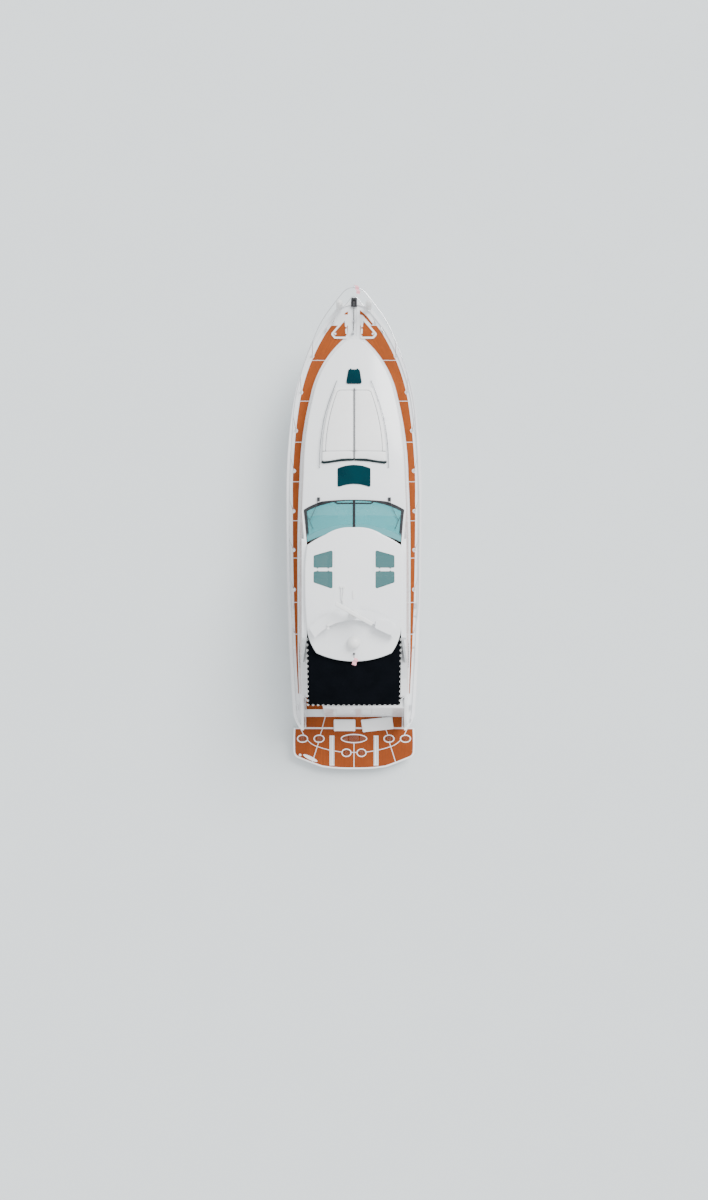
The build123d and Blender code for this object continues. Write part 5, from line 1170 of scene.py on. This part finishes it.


# Painted shadow under the after edge of the sunpad: a near-black tube laid where the pad's shade falls

shadowBandSettings = {
    "line": ((2.448, 0.010), (2.440, 0.20), (2.428, 0.40), (2.406, 0.60), (2.380, 0.78), (2.362, 0.92),
             (2.364, 1.00), (2.392, 1.05)),
    "steps": 4, "radius": 0.035, "sink": 0.012,
}


def smoothLine(points, steps):
    # even curve through all the points (Catmull-Rom)
    points = [Vector(p) for p in points]
    line = []
    for i in range(len(points) - 1):
        a, b = points[max(i - 1, 0)], points[i]
        c, d = points[i + 1], points[min(i + 2, len(points) - 1)]
        for k in range(steps):
            t = k / steps
            line.append(0.5 * (2 * b + (c - a) * t + (2 * a - 5 * b + 4 * c - d) * t * t
                               + (3 * b - a - 3 * c + d) * t ** 3))
    return line + [points[-1]]


def makeShadowBand(s):
    parts = []
    for side in (1, -1):
        points = [onTop("coachroof", x, side * y, s["radius"] - s["sink"])
                  for x, y in smoothLine(s["line"], s["steps"])]
        parts.append(tubeMesh("band", points, s["radius"], sides=12))
    newPiece("sunpadBand", joinMeshes("sunpadBand", parts), "black_frame", material=shadowBandPaint)


makeShadowBand(shadowBandSettings)


# Dash at the helm: two blank screens and a row of dials

dashSettings = {
    # x and y of the centre, width and height
    "screens": ((0.26, -1.25, 0.30, 0.19), (0.26, -0.72, 0.26, 0.17)),
    # name, slot, share of the screen's size, and height over the dash
    "layers": (("screenCase", "black_frame", 1.0, 0.010), ("screenFace", "dark_glass", 0.86, 0.013)),
    "sunk": 0.01, "edge": 0.004, "top": 3.0,
    "dialX": 0.255, "dialY": (-0.30, -0.17, -0.04, 0.09), "dialRadius": 0.045, "dialHigh": 0.012,
}


def makeDash(s):
    made = 0
    along = Vector((0, 1, 0))
    for x, y, wide, high in s["screens"]:
        z, normal = heightAt("helm_console", x, y, s["top"])
        up = normal.cross(along).normalized()
        centre = Vector((x, y, z))
        for name, slot, share, lift in s["layers"]:
            halfHigh, halfWide = high / 2 * share, wide / 2 * share
            low, top = (-halfHigh, -halfWide, -s["sunk"]), (halfHigh, halfWide, lift)
            mesh = boxMesh(name, low, top, s["edge"], steps=2)
            for vertex in mesh.vertices:
                c = vertex.co
                vertex.co = centre + up * c.x + along * c.y + normal * c.z
            closedNormals(mesh)
            softEdges(mesh)
            newPiece(f"{name}{made}", mesh, slot)
            made += 1
    spots = [spotOn("helm_console", (s["dialX"], y, s["top"]), (0, 0, -1), 0.0, (0, 1, 0))
             for y in s["dialY"]]
    dial = discMesh("dial", s["dialRadius"], s["dialHigh"], sides=28)
    copiesAt("dashDials", spots, dial, "black_frame")


makeDash(dashSettings)
print("dash set")


# Stage, camera and light

stageSettings = {
    "floorHalf": 120.0, "floorTone": (0.66, 0.70, 0.71), "floorSecond": 0.985,
    "floorFinish": (3.0, 0.7, 0.85), "waterlineZ": 0.0,
    "camera": {"lens": 28.0, "sensor_fit": "VERTICAL", "sensor_height": 36.0, "clip_end": 400},
    "cameraPlace": (-2.1, 0.0, 33.0), "cameraTurn": (0, 0, -90),
    "sunPlace": (0, 0, 20), "sunTurn": (46, 10, 40), "sunStrength": 4.5, "sunAngle": 35,
    "skyStrength": 1.45, "skyColor": (0.96, 0.98, 1.0),
}


def makeStage(s):
    half, tone = s["floorHalf"], s["floorTone"]
    corners = [(x * half, y * half, s["waterlineZ"]) for x, y in ((-1, -1), (1, -1), (1, 1), (-1, 1))]
    paint = toneMaterial("paleFloor", tone, dimmed(tone, s["floorSecond"]), *s["floorFinish"])
    newPiece("floor", meshFrom("floor", corners, [(0, 1, 2, 3)]), None, None, paint)
    camera = bpy.data.cameras.new("camera")
    for key, value in s["camera"].items():
        setattr(camera, key, value)
    sun = bpy.data.lights.new("sun", "SUN")
    sun.energy = s["sunStrength"]
    sun.angle = math.radians(s["sunAngle"])
    for name, data, place, turn in (("camera", camera, s["cameraPlace"], s["cameraTurn"]),
                                    ("sun", sun, s["sunPlace"], s["sunTurn"])):
        obj = addObject(name, data)
        obj.location = place
        obj.rotation_euler = [math.radians(v) for v in turn]
    bpy.context.scene.camera = bpy.data.objects["camera"]
    world = bpy.data.worlds.new("studio")
    world.use_nodes = True
    sky = world.node_tree.nodes["Background"].inputs
    sky["Color"].default_value = (*s["skyColor"], 1)
    sky["Strength"].default_value = s["skyStrength"]
    bpy.context.scene.world = world


makeStage(stageSettings)
print("stage set")
